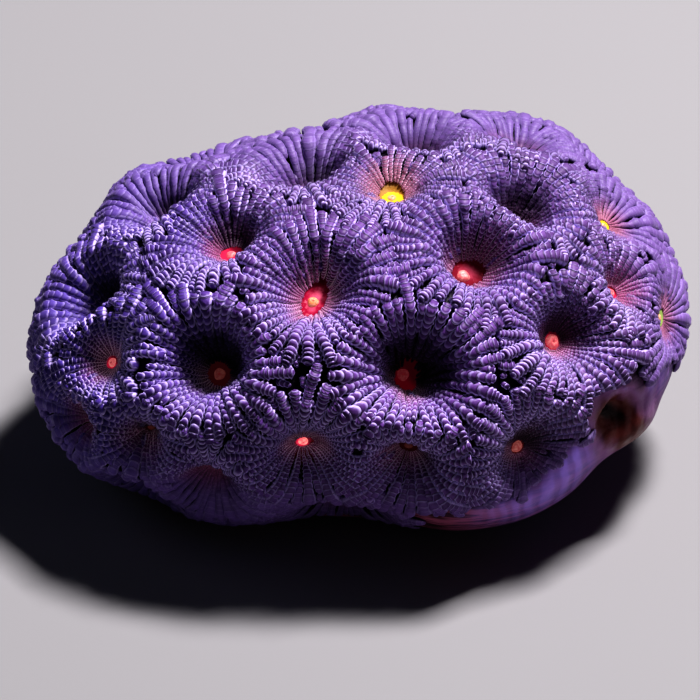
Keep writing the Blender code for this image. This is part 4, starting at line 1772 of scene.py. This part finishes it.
@dataclass
class MouthDiscs(MouthShapes):
    """The smooth coloured discs at the bottoms of the pits, one for each mouth."""

    name: str = "mouth_discs"
    around: int = 28
    rows: int = 8
    dish: float = 0.08 * MM
    proud: float = 0.10 * MM
    overlap: float = 1.10
    fold_height: float = 0.03 * MM
    fold_count: int = 12
    droop: float = 0.25 * MM
    thickness: float = 0.5 * MM

    def shape(self, number: int, pit: Pit) -> tuple[Array, dict[str, Array]]:
        """One disc: a grid of turns and radii with a point under it.

        Its height over the flesh is a shallow dish, plus a low wave of folds that grows to the
        rim, which droops. It carries its radius, and its painted shade, which grows to the upper right.

        Args:
            number: the pit's number.
            pit: the pit.

        Returns:
            The corners, and the numbers that they carry, by name.
        """
        draw = np.random.default_rng(500 + number)
        ways, middle, normal = self.seat(number)
        photo = self.pits.boulder.photo
        radius = np.arange(1, self.rows + 1) / self.rows
        rim = disc_rim(pit, self.turns) * self.overlap
        folds = self.fold_height * np.cos(self.fold_count * self.turns + draw.uniform(0, 6))
        out = radius[:, None] * rim[None]
        height = self.proud - self.dish * (1 - radius[:, None] ** 2) + folds[None] * radius[:, None]
        height = height - self.droop * rise(radius[:, None], 0.8, 0.2)
        grid = middle + out[..., None] * ways[None] + height[..., None] * normal
        top = middle + (self.proud - self.dish) * normal
        # The painted shade grows towards the upper right.
        away = ways @ (photo.right + photo.up) / math.sqrt(2)
        shade = (radius[:, None] * away[None]).ravel()
        notes = {
            "radius": np.concatenate([[0.0], np.repeat(radius, self.around), [1.0]]),
            "shade": np.concatenate([[0.0], shade, [1.0]]),
        }
        return np.vstack([top, grid.reshape(-1, 3), middle - self.thickness * normal]), notes


@dataclass
class MouthBeads(MouthShapes):
    """The mouths: round beads with a dimple, one on each disc."""

    name: str = "mouth_beads"
    around: int = 20
    rows: int = 12
    flatness: float = 0.72
    dimple: float = 0.18
    dimple_breadth: float = 0.28
    sunk: float = 0.06 * MM

    def shape(self, number: int, pit: Pit) -> tuple[Array, dict[str, Array]]:
        """One mouth, as a flattened ball.

        Its distance from its axis is the sine of the tilt and its height the cosine times the
        flatness, with a bell-shaped dimple taken off the top. It carries its radius.

        Args:
            number: the pit's number.
            pit: the pit.

        Returns:
            The corners, and the numbers that they carry, by name.
        """
        draw = np.random.default_rng(900 + number)
        ways, floor, normal = self.seat(number)
        photo, size = self.pits.boulder.photo, pit.bead * MM
        tilt = math.pi * np.arange(1, self.rows + 1) / (self.rows + 1)
        wobble = 1 + 0.05 * np.cos(3 * self.turns + draw.uniform(0, 6)) + 0.03 * np.cos(5 * self.turns)
        out = np.sin(tilt)[:, None] * wobble[None]
        dimple = self.dimple * np.exp(-((np.sin(tilt) / self.dimple_breadth) ** 2))
        height = self.flatness * np.cos(tilt) - dimple * (tilt < 1.5)
        place = MM * (pit.bead_at[0] * photo.right + pit.bead_at[1] * photo.up)
        middle = floor - self.sunk * normal + place - (place @ normal) * normal
        grid = middle + size * (out[..., None] * ways[None] + height[:, None, None] * normal)
        top = middle + size * (self.flatness - self.dimple) * normal
        under = middle - size * self.flatness * normal
        upper = np.where(tilt < math.pi / 2, np.sin(tilt), 1.0)
        notes = {"radius": np.concatenate([[0.0], np.repeat(upper, self.around), [1.0]])}
        return np.vstack([top, grid.reshape(-1, 3), under]), notes


@dataclass(frozen=True)
class Lamp:
    """A square soft light: its name, place, side, power in watts and colour."""

    name: str
    place: tuple[float, float, float]
    size: float
    power: float
    colour: Colour

    def hang(self, target: Array) -> None:
        """Hangs the light.

        Args:
            target: the place that it points at.
        """
        lamp = bpy.data.lights.new(self.name, "AREA")
        lamp.size, lamp.energy, lamp.color = self.size, self.power, self.colour
        holder = bpy.data.objects.new(self.name, lamp)
        holder.location = self.place
        holder.rotation_euler = aimed(target - np.array(self.place))
        holder.visible_camera = False
        bpy.context.scene.collection.objects.link(holder)


@dataclass
class Studio:
    """The plain pale floor, the soft lights and the camera at the photograph's angle."""

    boulder: Boulder
    camera_distance: float = 1.0
    sensor: float = 36.0
    floor_size: float = 6.0
    floor_colour: Colour = (0.25, 0.247, 0.247)
    floor_drop: float = 0.05 * MM
    sky: Colour = (0.80, 0.82, 0.90)
    sky_strength: float = 0.015
    lamps: tuple[Lamp, ...] = (
        Lamp("key_light", (0.18, 0.12, 0.55), 0.12, 6.3, (1.0, 0.96, 1.0)),
        Lamp("fill_light", (-0.52, 0.02, 0.42), 0.40, 0.24, (0.66, 0.72, 1.0)),
        Lamp("side_light", (0.48, -0.26, 0.12), 0.25, 0.14, (0.84, 0.76, 1.0)),
    )

    def build(self) -> None:
        """Builds the floor, the lights, the surroundings and the camera."""
        self.lay_floor()
        for lamp in self.lamps:
            lamp.hang(np.array([0.0, 0.0, self.boulder.cut_drop]))
        world = bpy.data.worlds.new("studio")
        world.use_nodes = True
        background = world.node_tree.nodes["Background"]
        background.inputs["Color"].default_value = (*self.sky, 1.0)
        background.inputs["Strength"].default_value = self.sky_strength
        bpy.context.scene.world = world
        bpy.context.scene.view_settings.view_transform = "Standard"
        bpy.context.scene.view_settings.look = "High Contrast"
        self.set_camera()

    def lay_floor(self) -> None:
        """Lays a square floor just under the cut, pale with a faint mottling."""
        half = self.floor_size / 2
        corners = np.array([(-half, -half), (half, -half), (half, half), (-half, half)])
        corners = np.column_stack([corners, np.full(4, -self.floor_drop)])
        floor = Piece.make("floor", corners, np.array([[0, 1, 2, 3]]), np.zeros((0, 3), int))
        finish = Finish("pale_floor")
        darker = tuple(part * 0.97 for part in self.floor_colour)
        mottled = finish.graph.blend(finish.graph.cloud(9.0), darker, self.floor_colour)
        finish.feed(Base_Color=mottled, Roughness=0.85)
        floor.data.materials.append(finish.material)

    def set_camera(self) -> None:
        """Sets the camera so that the boulder's middle shows at the photograph's pixel."""
        photo = self.boulder.photo
        middle = self.boulder.placed(np.zeros((1, 3)))[0]
        offset_right = (photo.width / 2 - photo.middle[0]) * photo.pixel
        offset_up = (photo.middle[1] - photo.width / 2) * photo.pixel
        target = middle + photo.right * offset_right + photo.up * offset_up
        view = bpy.data.cameras.new("camera")
        view.sensor_width = self.sensor
        view.lens = self.sensor * self.camera_distance / (photo.width * photo.pixel)
        view.clip_start, view.clip_end = 0.01, 20.0
        camera = bpy.data.objects.new("camera", view)
        camera.location = target + photo.towards * self.camera_distance
        camera.rotation_euler = aimed(-photo.towards)
        bpy.context.scene.collection.objects.link(camera)
        bpy.context.scene.camera = camera


def aimed(way: Array) -> tuple[float, float, float]:
    """The turn, as three angles, that points a light's or a camera's back axis along a direction."""
    flat = math.hypot(way[0], way[1])
    return math.atan2(flat, -way[2]), 0.0, math.atan2(-way[0], way[1])


def main() -> None:
    """Builds the colony and its studio, one sub-assembly after another."""
    logging.basicConfig(level=logging.INFO, format="%(name)s %(message)s")
    boulder = Boulder()
    pits = PitField(boulder)
    groups = Groups()
    Flesh(pits).build(FleshFinish(groups).build())
    ridge_material = RidgeFinish(groups).build()
    fans = [RidgeFan(pits, number) for number, _ in pits.ridged()]
    for fan in fans:
        fan.fill_in(fans)
    for fan in fans:
        fan.build(ridge_material)
    MouthDiscs(pits).build(DiscFinish(groups).build())
    MouthBeads(pits).build(BeadFinish(groups).build())
    Studio(boulder).build()


if __name__ == "__main__":
    main()
